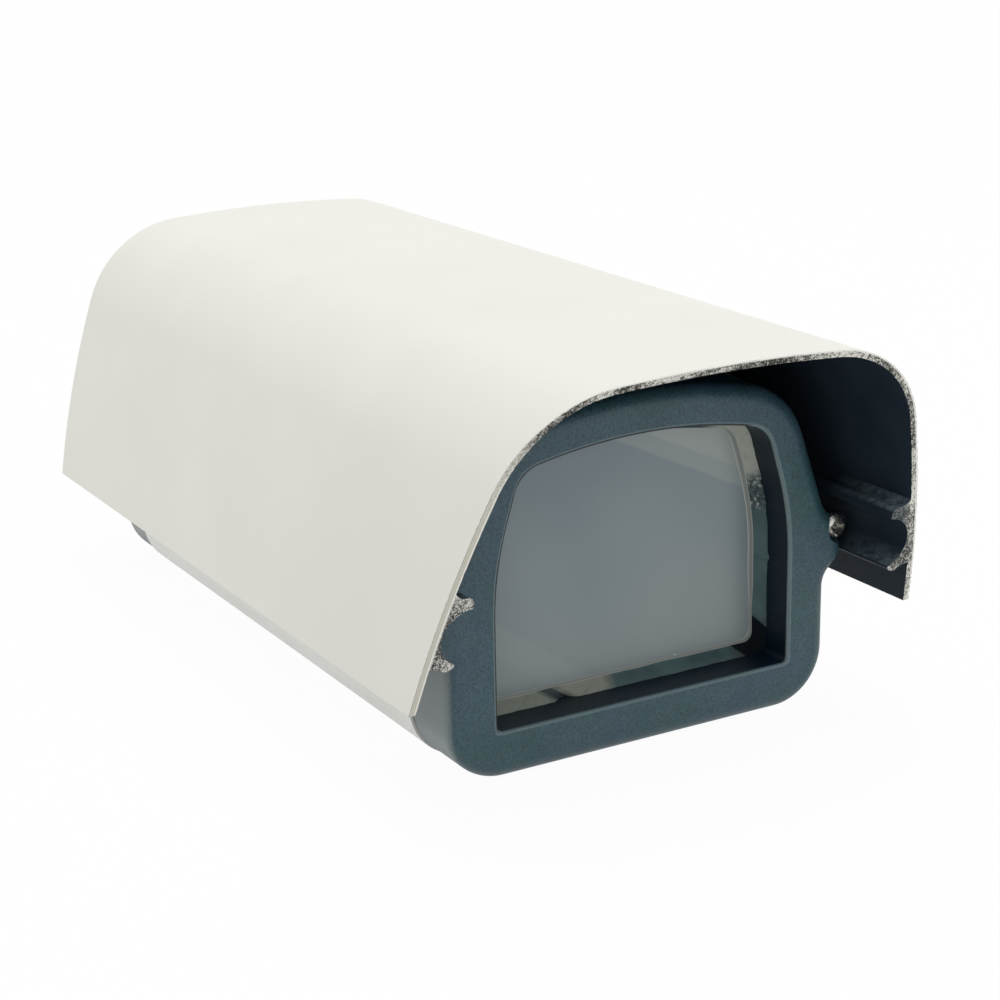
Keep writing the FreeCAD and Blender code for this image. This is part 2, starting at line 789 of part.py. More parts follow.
def earNeck(side):
    """Where the ear's top slope meets the leaning side, as (across, up)."""
    tip = railAcross.number + size.earReach.number
    top = size.railHeight.number + size.earRise.number
    lean = math.tan(math.radians(size.tubeLean.number))
    half = math.tan(math.radians(size.tubeLean.number / 2))
    knee = size.tubeKnee.number - size.castingStep.number * half
    up = (top + tip - side.number - knee * lean) / (1 - lean)
    return tip + top - up, up


def makeBezel():
    body = newBody("front_bezel")
    makeCasting(body, size.bezelDepth, front=True)
    window = Drawing(body, "Window", height=bezelFace)
    houseOutline(window, "window", zero)
    feature("Pocket", body, window)
    seat = Drawing(body, "GlassSeat", height=plugEnd)
    houseOutline(seat, "window", -size.glassLap)
    pocket = feature("Pocket", body, seat, glassFace - plugEnd, reverse=True)
    front = -bezelFace.number
    filletEdges(body, pocket, size.mouthRadius,
                lambda edge: liesAtY(edge, front) and windowEdge(edge))


def windowEdge(edge):
    """True for an edge no wider, higher or lower than the window's own outline."""
    low, high = size.windowBase.number, windowTop.number
    reach = windowHalf.number
    points = [vertex.Point for vertex in edge.Vertexes]
    return all(low - 1e-6 <= point.z <= high + 1e-6 and abs(point.x) <= reach + 1e-6
               for point in points)


def makeRearCap():
    body = newBody("rear_cap")
    makeCasting(body, size.capDepth, front=False)
    hollow = Drawing(body, "Hollow", height=-plugEnd)
    houseOutline(hollow, "tube", plugOffset + size.capSide)
    feature("Pocket", body, hollow, size.plugDepth + size.capDepth - size.capWall)
    holes = Drawing(body, "GlandHoles", height=-capFace)
    for across in (size.glandAcross, -size.glandAcross):
        holes.circle(across, size.glandHeight, size.glandThreadRadius + size.glandHoleGap)
    feature("Pocket", body, holes, size.capWall, reverse=True)


def makeGasket(label, front):
    body = newBody(label)
    ring = Drawing(body, "Ring", height=flange if front else -rim)
    houseOutline(ring, "tube", size.castingStep + size.gasketInset)
    houseOutline(ring, "tube", plugOffset - size.gasketGap)
    feature("Pad", body, ring, size.gasketThickness, reverse=True)


# Glass and its sealant
def makeGlass():
    body = newBody("window_glass")
    pane = Drawing(body, "Pane", height=glassFace)
    houseOutline(pane, "window", size.glassGap - size.glassLap)
    feature("Pad", body, pane, size.glassThickness, reverse=True)


def makeBead():
    body = newBody("glass_seal")
    ring = Drawing(body, "Bead", height=glassFace)
    houseOutline(ring, "window", size.beadGap)
    houseOutline(ring, "window", size.beadWidth, foot=size.beadFootRadius)
    feature("Pad", body, ring, size.beadHeight)


def makeBond():
    body = newBody("glass_bond")
    ring = Drawing(body, "Bond", height=glassBack)
    houseOutline(ring, "window", size.beadGap - size.glassLap)
    houseOutline(ring, "window", -size.bondLap)
    feature("Pad", body, ring, size.bondThickness, reverse=True)


# Ear screws
def makeEarScrews(label, front):
    """Pan heads with a cross, in a pair; each is drawn at the origin, head to -Y."""
    body = newBody(label + "_one")
    head, tip = size.screwHeadRadius, size.screwRadius
    height = size.screwHeadHeight
    turned("Revolution", body, [
        (zero, -height), (size.screwHeadFlat, -height),
        (size.screwHeadBevel, size.screwHeadCrown - height),
        (head, size.screwHeadCrown * 2 - height), (head, zero), (tip, zero),
        (tip, size.screwLength - tip / 2), (tip / 2, size.screwLength), (zero, size.screwLength),
    ], "Profile")
    cross = Drawing(body, "Cross", height=height)
    long, slim = size.crossLength / 2, size.crossWidth / 2
    cross.polygon([(long, -slim), (long, slim), (slim, slim), (slim, long), (-slim, long),
                   (-slim, slim), (-long, slim), (-long, -slim), (-slim, -slim),
                   (-slim, -long), (slim, -long), (slim, -slim)])
    feature("Pocket", body, cross, size.crossDepth)
    depth = size.bezelDepth if front else size.capDepth
    seat = flange + depth - size.screwSeatDepth
    place(body, railAcross, -seat if front else seat, size.railHeight, 0 if front else 180)
    mirroredPair(label, body)


# Camera sled
def makeSled():
    body = newBody("camera_sled")
    half = size.tubeWidth / 2 - size.tubeWall - size.sledSideGap
    end = size.sledLength / 2
    cut = size.sledCorner
    plate = Drawing(body, "Plate", "XY_Plane", size.sledHeight)
    plate.polygon([(cut - half, -end), (half - cut, -end), (half, cut - end), (half, end - cut),
                   (half - cut, end), (cut - half, end), (-half, end - cut), (-half, cut - end)])
    feature("Pad", body, plate, size.sledThickness)
    tab = Drawing(body, "Tab", height=-end)
    tab.rectangle(-size.tabWidth / 2, size.sledHeight, size.tabWidth / 2,
                  size.sledHeight + size.tabHeight)
    feature("Pad", body, tab, size.sledThickness)
    hole = Drawing(body, "TabHole", height=-end)
    hole.circle(zero, size.sledHeight + size.tabHeight / 2 + size.sledThickness / 2,
                size.tabHoleRadius)
    feature("Pocket", body, hole, size.sledThickness, reverse=True)
    slot = Drawing(body, "Slot", "XY_Plane", size.sledHeight)
    drawSlot(slot, size.slotWidth, size.slotLength)
    feature("Pocket", body, slot, size.sledThickness, reverse=True)


def drawSlot(drawing, width, length):
    """Two straight sides and two round ends, along the drawing's upright axis."""
    radius = width / 2
    reach = length / 2 - radius
    r, away = radius.number, reach.number
    right = drawing.line((r, -away), (r, away))
    far = drawing.arc((0, away), r, 0, 180)
    left = drawing.line((-r, away), (-r, -away))
    near = drawing.arc((0, -away), r, 180, 360)
    for here, following in ((right, far), (far, left), (left, near), (near, right)):
        drawing.constrain("Tangent", here, 2, following, 1)
    drawing.bind(radius, "Radius", far)
    drawing.constrain("PointOnObject", far, 3, -2)
    drawing.constrain("PointOnObject", near, 3, -2)
    drawing.bind(reach, "DistanceY", -1, 1, far, 3)
    drawing.bind(reach, "DistanceY", near, 3, -1, 1)


def makeCameraPad():
    """Sheet rubber on the sled, under the camera, with a square-ended slot for its screw."""
    body = newBody("camera_pad")
    foot = size.sledHeight + size.sledThickness
    reach = size.slotLength / 2 + size.padEnd
    sheet = Drawing(body, "Sheet", "XY_Plane", foot)
    sheet.rectangle(-size.padWidth / 2, -reach, size.padWidth / 2, reach)
    feature("Pad", body, sheet, size.padThickness)
    slot = Drawing(body, "Slot", "XY_Plane", foot)
    side, end = size.slotWidth / 2 + size.padSlotSide, size.slotLength / 2
    slot.rectangle(-side, -end, side, end)
    feature("Pocket", body, slot, size.padThickness, reverse=True)


def makeWasher():
    body = newBody("camera_washer")
    ring = Drawing(body, "Ring", "XY_Plane")
    ring.circle(zero, zero, size.washerRadius)
    ring.circle(zero, zero, size.cameraScrewRadius + size.washerBoreGap)
    feature("Pad", body, ring, size.washerThickness)
    place(body, zero, -size.cameraScrewBack,
          size.sledHeight - size.washerGap - size.washerThickness)


def makeCameraScrew():
    """A knurled thumb head with a coin slot, a thin neck in the slots, and the thread."""
    body = newBody("camera_screw")
    height = size.cameraHeadHeight
    head = Drawing(body, "Head", "XY_Plane")
    head.circle(zero, zero, size.cameraHeadRadius)
    feature("Pad", body, head, height)
    foot = size.sledHeight - size.washerGap * 2 - size.washerThickness - height
    neck = Drawing(body, "Neck", "XY_Plane", height)
    neck.circle(zero, zero, size.cameraNeckRadius)
    neckLength = padTop - foot - height
    feature("Pad", body, neck, neckLength)
    thread = Drawing(body, "Thread", "XY_Plane", height + neckLength)
    thread.circle(zero, zero, size.cameraScrewRadius)
    feature("Pad", body, thread, size.cameraScrewReach)
    coin = Drawing(body, "CoinSlot", "XY_Plane")
    coin.rectangle(-size.cameraHeadRadius, -size.coinSlotWidth / 2,
                   size.cameraHeadRadius, size.coinSlotWidth / 2)
    feature("Pocket", body, coin, size.coinSlotDepth, reverse=True)
    groove = Drawing(body, "Knurl", "XY_Plane")
    groove.circle(size.cameraHeadRadius + size.knurlDepth, zero, size.knurlDepth * 2)
    cut = feature("Pocket", body, groove, height, reverse=True)
    knurl = body.newObject("PartDesign::PolarPattern", "KnurlRing")
    knurl.Originals = [cut]
    knurl.Axis = (groove.sketch, ["N_Axis"])
    knurl.Angle = 360
    knurl.Occurrences = knurlCount
    body.Tip = knurl
    place(body, zero, -size.cameraScrewBack, foot)


# Cable glands: each piece is drawn about its own Y axis, with y = 0 on the cap's face
def hexPrism(body, flats, bore, low, length, name):
    """A hexagonal ring from low, length long, with its outer end's corners turned off."""
    ring = Drawing(body, name, height=-low)
    ring.hexagon(zero, zero, flats)
    ring.circle(zero, zero, bore)
    feature("Pad", body, ring, length, reverse=True)
    corner = flats / 2 / math.cos(math.radians(30))
    top = low + length
    turned("Groove", body, [
        (flats / 2, top), (corner + size.hexChamfer, top),
        (corner + size.hexChamfer, top - size.hexChamfer * 2)], name + "Chamfer")


def makeGlandBody(label, across):
    body = newBody(label)
    bore, thread, neck = size.glandBoreRadius, size.glandThreadRadius, size.glandNeckRadius
    top = size.glandFlange + size.glandNeck
    turned("Revolution", body, [
        (bore, -size.glandInner), (thread, -size.glandInner), (thread, zero),
        (thread, size.glandFlange), (neck, size.glandFlange), (neck, top),
        (size.glandCupRadius, top), (size.glandCupRadius, size.glandCupFloor),
        (bore, size.glandCupFloor)], "Barrel")
    hexPrism(body, size.glandFlats, thread - size.hexChamfer, zero, size.glandFlange, "Flange")
    place(body, across, capFace, size.glandHeight)


def makeGlandLocknut(label, across):
    body = newBody(label)
    ring = Drawing(body, "Ring", height=size.capWall + size.locknutThickness)
    ring.hexagon(zero, zero, size.locknutFlats)
    ring.circle(zero, zero, size.glandThreadRadius + size.locknutGap)
    feature("Pad", body, ring, size.locknutThickness, reverse=True)
    place(body, across, capFace, size.glandHeight)


def makeGlandSeal(label, across):
    body = newBody(label)
    outer = size.glandCupRadius - size.sealGap
    top = size.glandFlange + size.glandNeck + size.sealStand
    inner = size.sealBoreRadius
    turned("Revolution", body, [
        (inner, size.glandCupFloor), (outer, size.glandCupFloor), (outer, top - size.hexChamfer),
        (outer - size.hexChamfer, top), (inner, top)], "Grommet")
    place(body, across, capFace, size.glandHeight)


def makeGlandNut(label, across):
    body = newBody(label)
    low = size.glandFlange + size.nutLift
    hexTop = low + size.nutHexLength
    top = low + size.nutLength
    thread = size.glandNeckRadius + size.nutGap
    roof = size.glandFlange + size.glandNeck + size.sealStand + size.nutRoofGap
    shoulder = size.glandFlats / 2 - size.nutShoulder
    turned("Revolution", body, [
        (thread, low), (shoulder, low), (shoulder, hexTop), (shoulder - size.hexChamfer, roof),
        (size.nutEndRadius + size.hexChamfer, top - size.hexChamfer), (size.nutEndRadius, top),
        (size.nutMouthRadius, top), (size.nutMouthRadius, top - size.nutRoofThickness),
        (thread, roof)], "Dome")
    hexPrism(body, size.glandFlats, shoulder - size.hexChamfer, low, size.nutHexLength, "Hex")
    place(body, across, capFace, size.glandHeight)


def buildAll():
    makeSunshield()
    makeLockScrews()
    makeTube()
    makeMountBar()
    makeBarScrews()
    makeBezel()
    makeGlass()
    makeBead()
    makeBond()
    makeGasket("front_gasket", front=True)
    makeEarScrews("front_screws", front=True)
    makeRearCap()
    makeGasket("rear_gasket", front=False)
    makeEarScrews("rear_screws", front=False)
    makeSled()
    makeCameraPad()
    makeWasher()
    makeCameraScrew()
    for side, across in (("left", -size.glandAcross), ("right", size.glandAcross)):
        makeGlandBody("gland_body_" + side, across)
        makeGlandLocknut("gland_locknut_" + side, across)
        makeGlandSeal("gland_seal_" + side, across)
        makeGlandNut("gland_nut_" + side, across)


nodes = [
    "sunshield", "shield_lock_screws", "body_tube", "mount_bar", "bar_screws", "front_bezel",
    "window_glass", "glass_seal", "glass_bond", "front_gasket", "front_screws", "rear_cap",
    "rear_gasket", "rear_screws", "camera_sled", "camera_pad", "camera_washer", "camera_screw",
    "gland_body_left", "gland_locknut_left", "gland_seal_left", "gland_nut_left",
    "gland_body_right", "gland_locknut_right", "gland_seal_right", "gland_nut_right",
]


def checkDocument():
    for item in doc.Objects:
        if "Invalid" in item.State or "Error" in item.State:
            raise RuntimeError("failed: %s %s" % (item.Label, item.State))
    for name in nodes:
        shape = doc.getObjectsByLabel(name)[0].Shape
        if shape.isNull() or not shape.isValid():
            raise RuntimeError("no valid solid: " + name)


def writeParts():
    os.makedirs("parts", exist_ok=True)
    for name in nodes:
        shape = doc.getObjectsByLabel(name)[0].Shape
        shape.exportStep("parts/" + name + ".step")
        box = shape.BoundBox
        print("%-20s solids %d volume %9.1f  x %.1f %.1f  y %.1f %.1f  z %.1f %.1f" % (
            name, len(shape.Solids), shape.Volume, box.XMin, box.XMax,
            box.YMin, box.YMax, box.ZMin, box.ZMax))


buildAll()
doc.recompute()
checkDocument()
writeParts()
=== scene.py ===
import math
import bpy
import numpy as np
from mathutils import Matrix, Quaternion, Vector


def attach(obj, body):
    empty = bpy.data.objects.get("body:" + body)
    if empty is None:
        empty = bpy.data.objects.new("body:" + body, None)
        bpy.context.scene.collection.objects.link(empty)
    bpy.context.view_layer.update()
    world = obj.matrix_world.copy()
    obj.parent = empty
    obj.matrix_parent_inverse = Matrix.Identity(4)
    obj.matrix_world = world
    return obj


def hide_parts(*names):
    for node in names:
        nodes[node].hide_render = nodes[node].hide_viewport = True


# A small aluminium camera housing. Sizes are in millimetres unless a note says otherwise, and
# meshes are scaled to metres when they are made.
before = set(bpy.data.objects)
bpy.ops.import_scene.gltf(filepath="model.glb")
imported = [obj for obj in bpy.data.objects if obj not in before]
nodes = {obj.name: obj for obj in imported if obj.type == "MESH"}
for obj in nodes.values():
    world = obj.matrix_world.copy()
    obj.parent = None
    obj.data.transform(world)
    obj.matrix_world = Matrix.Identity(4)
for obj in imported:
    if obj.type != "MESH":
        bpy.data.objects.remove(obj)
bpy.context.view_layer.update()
mm = 0.001
print("frame loaded:", len(nodes), "nodes")


# Sunshield: one extrusion, sawn at a slant in front
shield = {
    "halfWidth": 52.0, "base": 20.0, "top": 75.0, "wall": 1.25,
    "crownRadius": 310.0, "cornerRadius": 23.4, "sideRadius": 212.0, "sideDrop": 31.8,
    # Where the cut starts at the base, the rear end, and the cut's slant in degrees
    "front": -85.5, "rear": 79.5, "slant": 16.4,
    # The rail inside each side: a round channel with a lip over it and a lip with a heel below
    "railAcross": 42.4, "railHeight": 33.2, "channelRadius": 5.3,
    "upperRoot": 41.8, "upperLipTop": 40.7, "upperLipEnd": 42.6, "upperValley": 45.0,
    "lowerRoot": 28.5, "lowerLipEnd": 44.6, "lowerLipLow": 27.8, "heelAcross": 46.4, "heelLow": 27.1,
    "lipCorner": 0.8, "edgeRounding": 0.45,
    # The mesh: points drawn on each arc, their even spacing afterwards, rings behind the cut, and
    # the torn edge's height and length
    "points": {"side": 60, "corner": 40, "crown": 40, "base": 12, "channel": 40},
    "spacing": 0.45, "ringsBehindCut": (0.35, 1.5, 5.0, 15.0, 40.0, 80.0, 120.0),
    "burr": 0.14, "burrLength": 1.2,
}


def shieldArcs():
    # The side's centre lies below the base; the corner's centre lies where a circle about the
    # side's centre meets one about the crown's centre, so that all three arcs are tangent
    s = shield
    side = np.array([s["halfWidth"] - math.sqrt(s["sideRadius"] ** 2 - s["sideDrop"] ** 2),
                     s["base"] - s["sideDrop"]])
    crown = np.array([0.0, s["top"] - s["crownRadius"]])
    near, far = s["sideRadius"] - s["cornerRadius"], s["crownRadius"] - s["cornerRadius"]
    toCrown = crown - side
    gap = np.linalg.norm(toCrown)
    along = (near ** 2 - far ** 2 + gap ** 2) / (2 * gap)
    aside = math.sqrt(near ** 2 - along ** 2)
    unit = toCrown / gap
    options = [side + along * unit + sign * aside * np.array([-unit[1], unit[0]]) for sign in (1, -1)]
    corner = max(options, key=lambda point: point[0])
    bend = math.degrees(math.atan2(*(corner - side)[::-1]))
    turn = math.degrees(math.atan2(corner[0] - crown[0], corner[1] - crown[1]))
    return side, corner, crown, bend, 90 - turn


# Helpers for materials
def linearColour(hexCode):
    # sRGB hex to the linear numbers that shaders take
    parts = [int(hexCode[i:i + 2], 16) / 255 for i in (1, 3, 5)]
    return [c / 12.92 if c <= 0.04045 else ((c + 0.055) / 1.055) ** 2.4 for c in parts] + [1.0]


def setNode(tree, node, values):
    # Each key is a property of the node, or one of its sockets by name or number. A value is a
    # number, a hex colour, or what feeds the socket: an output, or a node, of which it reads the
    # first output in use. A Mix has its factor at socket 0, two numbers at 2 and 3 and two colours
    # at 6 and 7
    for key, value in values.items():
        if isinstance(key, str) and hasattr(node, key):
            setattr(node, key, value)
            continue
        if isinstance(value, bpy.types.Node):
            value = next(output for output in value.outputs if output.enabled)
        if isinstance(value, bpy.types.NodeSocket):
            tree.links.new(value, node.inputs[key])
        else:
            node.inputs[key].default_value = linearColour(value) if isinstance(value, str) else value


def addNode(tree, kind, values=None):
    # one node with its settings and links
    node = tree.nodes.new("ShaderNode" + kind)
    setNode(tree, node, values or {})
    return node


def newMaterial(name, settings):
    # a material with one Principled shader, whose even values sit on its own sockets
    material = bpy.data.materials.new(name)
    material.use_nodes = True
    tree = material.node_tree
    shader = tree.nodes["Principled BSDF"]
    setNode(tree, shader, settings)
    return material, tree, shader


def noiseScale(size):
    # the scale of a noise whose patches are about size millimetres across
    return 1 / (size * mm)


# Materials
def satinPowderCoat(name, colour, shade, edgePaint=False, paintedShade=False):
    # Off-white polyester powder coat, sprayed and baked: soft sheen, very fine orange peel and
    # a faint cloudiness; at the sawn edge the film is chipped back to the bright metal, and on the
    # tube a near-black patch of painted shade lines the seam behind the bezel, high up, under the shield
    look = {"peel": 1.1, "peelDepth": 0.006, "cloud": 34.0, "chip": 0.16, "chipGrain": 0.5,
            "paintedShadeFront": -57.0, "paintedShadeRear": -55.5, "paintedShadeLow": 56.0, "paintedShadeHigh": 60.0}
    material, tree, shader = newMaterial(name, {"Roughness": 0.42, "Specular IOR Level": 0.5})
    place = addNode(tree, "TexCoord").outputs["Object"]
    cloud = addNode(tree, "TexNoise", {"Vector": place, "Scale": noiseScale(look["cloud"]), "Detail": 3.0})
    shaded = addNode(tree, "MapRange", {"Value": cloud, "From Min": 0.35, "From Max": 0.65})
    paint = addNode(tree, "Mix", {"data_type": "RGBA", 0: shaded, 6: colour, 7: shade})
    if edgePaint:
        along = addNode(tree, "UVMap", {"uv_map": "fromSawCut"})
        distance = addNode(tree, "SeparateXYZ", {"Vector": along}).outputs["Y"]
        ragged = addNode(tree, "TexNoise", {
            "Vector": place, "Scale": noiseScale(look["chipGrain"]), "Detail": 3.0, "Roughness": 0.6})
        reach = addNode(tree, "Math", {
            "operation": "MULTIPLY_ADD", 0: ragged, 1: 2 * look["chip"] * mm, 2: -0.5 * look["chip"] * mm})
        bare = addNode(tree, "Math", {"operation": "LESS_THAN", 0: distance, 1: reach})
        paint = addNode(tree, "Mix", {"data_type": "RGBA", 0: bare, 6: paint, 7: "#a9a8a2"})
        setNode(tree, shader, {"Metallic": bare})
    if paintedShade:
        # painted shade: near black high on the tube's front, behind the bezel and under the shield
        axes = addNode(tree, "SeparateXYZ", {"Vector": place}).outputs
        inFront = addNode(tree, "MapRange", {
            "Value": axes["Y"], "From Min": look["paintedShadeFront"] * mm, "From Max": look["paintedShadeRear"] * mm,
            "To Min": 1.0, "To Max": 0.0})
        highUp = addNode(tree, "MapRange", {
            "Value": axes["Z"], "From Min": look["paintedShadeLow"] * mm, "From Max": look["paintedShadeHigh"] * mm})
        paintedShadeShare = addNode(tree, "Math", {"operation": "MULTIPLY", 0: inFront, 1: highUp})
        paint = addNode(tree, "Mix", {"data_type": "RGBA", 0: paintedShadeShare, 6: paint, 7: "#15191b"})
    peel = addNode(tree, "TexNoise", {"Vector": place, "Scale": noiseScale(look["peel"]), "Detail": 1.0})
    relief = addNode(tree, "Bump", {"Height": peel, "Distance": look["peelDepth"] * mm})
    setNode(tree, shader, {"Base Color": paint, "Normal": relief})
    return material


def darkInside():
    # Black primer inside the shield, thin and nearly matt, so that only a blue-grey haze comes back;
    # near the open front what faces up, such as the tops of the rail's lips, is paler, partly a film of
    # dust and partly a painted highlight
    look = {"patch": 8.0, "peel": 0.9, "peelDepth": 0.005, "dustAndHighlight": 1.4, "dustAndHighlightTo": -90.0, "dustAndHighlightFrom": -72.0}
    material, tree, shader = newMaterial("Black primer", {"Specular IOR Level": 0.1})
    place = addNode(tree, "TexCoord").outputs["Object"]
    patch = addNode(tree, "TexNoise", {"Vector": place, "Scale": noiseScale(look["patch"]), "Detail": 3.0})
    dark = addNode(tree, "Mix", {"data_type": "RGBA", 0: patch, 6: "#1e2834", 7: "#2d3842"})
    axes = addNode(tree, "SeparateXYZ", {"Vector": place}).outputs
    normal = addNode(tree, "TexCoord").outputs["Normal"]
    upward = addNode(tree, "SeparateXYZ", {"Vector": normal}).outputs["Z"]
    dustAndHighlight = addNode(tree, "TexNoise", {
        "Vector": place, "Scale": noiseScale(look["dustAndHighlight"]), "Detail": 4.0, "Roughness": 0.65})
    facing = addNode(tree, "MapRange", {"Value": upward, "From Min": 0.3, "From Max": 0.9})
    dustAndHighlightShare = addNode(tree, "MapRange", {
        "Value": dustAndHighlight, "From Min": 0.35, "From Max": 0.6, "To Min": 0.2, "To Max": 1.0})
    nearFront = addNode(tree, "MapRange", {
        "Value": axes["Y"], "From Min": look["dustAndHighlightTo"] * mm, "From Max": look["dustAndHighlightFrom"] * mm,
        "To Min": 1.0, "To Max": 0.0})
    dustAndHighlightMask = addNode(tree, "Math", {"operation": "MULTIPLY", 0: facing, 1: dustAndHighlightShare})
    dustAndHighlightMask = addNode(tree, "Math", {"operation": "MULTIPLY", 0: dustAndHighlightMask, 1: nearFront})
    # pale grey-blue on up-facing tops near the front: partly dust, partly painted highlight
    coat = addNode(tree, "Mix", {"data_type": "RGBA", 0: dustAndHighlightMask, 6: dark, 7: "#8296a0"})
    rough = addNode(tree, "MapRange", {
        "Value": patch, "From Min": 0.3, "From Max": 0.7, "To Min": 0.4, "To Max": 0.5})
    peel = addNode(tree, "TexNoise", {"Vector": place, "Scale": noiseScale(look["peel"]), "Detail": 1.0})
    relief = addNode(tree, "Bump", {"Height": peel, "Distance": look["peelDepth"] * mm})
    setNode(tree, shader, {"Base Color": coat, "Roughness": rough, "Normal": relief})
    return material


def depthIntoSheet(tree, axes, arcs):
    # How deep a point of the saw cut lies under the sheet's outside, in metres: its distance from
    # the side arc, above the bend from the corner arc, and over the middle from the crown arc
    aside = addNode(tree, "Math", {"operation": "ABSOLUTE", 0: axes["X"]})
    folded = addNode(tree, "CombineXYZ", {"X": aside, "Z": axes["Z"]})
    depths = []
    for centre, radius in arcs["circles"]:
        away = addNode(tree, "VectorMath", {
            "operation": "DISTANCE", 0: folded, 1: (centre[0] * mm, 0, centre[1] * mm)})
        depths.append(addNode(tree, "Math", {"operation": "SUBTRACT", 0: radius * mm, 1: away}))
    side, corner, crown = depths
    overBend = addNode(tree, "Math", {
        "operation": "GREATER_THAN", 0: axes["Z"], 1: arcs["bendHeight"] * mm})
    overMiddle = addNode(tree, "Math", {"operation": "LESS_THAN", 0: aside, 1: arcs["crownHalf"] * mm})
    upper = addNode(tree, "Mix", {0: overMiddle, 2: corner, 3: crown})
    return addNode(tree, "Mix", {0: overBend, 2: side, 3: upper})


def nearPlace(tree, place, spot):
    # 1 within the core's share of the spot's reach, then falling to 0 at its reach
    centre = tuple(part * mm for part in spot["at"])
    away = addNode(tree, "VectorMath", {"operation": "DISTANCE", 0: place, 1: centre})
    return addNode(tree, "MapRange", {
        "Value": away, "From Min": spot["core"] * spot["reach"] * mm, "From Max": spot["reach"] * mm,
        "To Min": 1.0, "To Max": 0.0})


def tornSpecks(tree, place, both, onLip, look):
    # The colour of the torn metal: dark where the two noises together are low, bright where they
    # are high. A slow third noise shifts them, stretch by stretch, and on the lips they are
    # shifted down and spread out about their middle, where primer also dulls the metal
    stretch = addNode(tree, "TexNoise", {
        "Vector": place, "Scale": noiseScale(look["stretch"]), "Detail": 1.0})
    drift = addNode(tree, "MapRange", {
        "Value": stretch, "From Min": 0.35, "From Max": 0.65, "To Min": -0.12, "To Max": 0.08})
    level = addNode(tree, "Math", {"operation": "ADD", 0: both, 1: drift})
    level = addNode(tree, "Math", {"operation": "MULTIPLY_ADD", 0: onLip, 1: look["lipShift"], 2: level})
    spread = addNode(tree, "Math", {"operation": "MULTIPLY_ADD", 0: onLip, 1: look["lipContrast"], 2: 1.0})
    level = addNode(tree, "Math", {"operation": "SUBTRACT", 0: level, 1: look["middle"]})
    level = addNode(tree, "Math", {"operation": "MULTIPLY_ADD", 0: level, 1: spread, 2: look["middle"]})
    pitted = nearPlace(tree, place, look["pitted"])
    level = addNode(tree, "Math", {
        "operation": "MULTIPLY_ADD", 0: pitted, 1: look["pitted"]["shift"], 2: level})
    bright = addNode(tree, "MapRange", {"Value": level, "From Min": 0.86, "From Max": 1.08})
    speck = addNode(tree, "Mix", {"data_type": "RGBA", 0: bright, 6: "#33342f", 7: "#e2e1d9"})
    dull = addNode(tree, "Math", {"operation": "MULTIPLY", 0: onLip, 1: look["lipDull"]})
    speck = addNode(tree, "Mix", {"data_type": "RGBA", 0: dull, 6: speck, 7: "#4c5256"})
    primed = addNode(tree, "Math", {
        "operation": "MULTIPLY", 0: nearPlace(tree, place, look["primer"]), 1: look["primer"]["cover"]})
    return addNode(tree, "Mix", {"data_type": "RGBA", 0: primed, 6: speck, 7: "#27353f"})


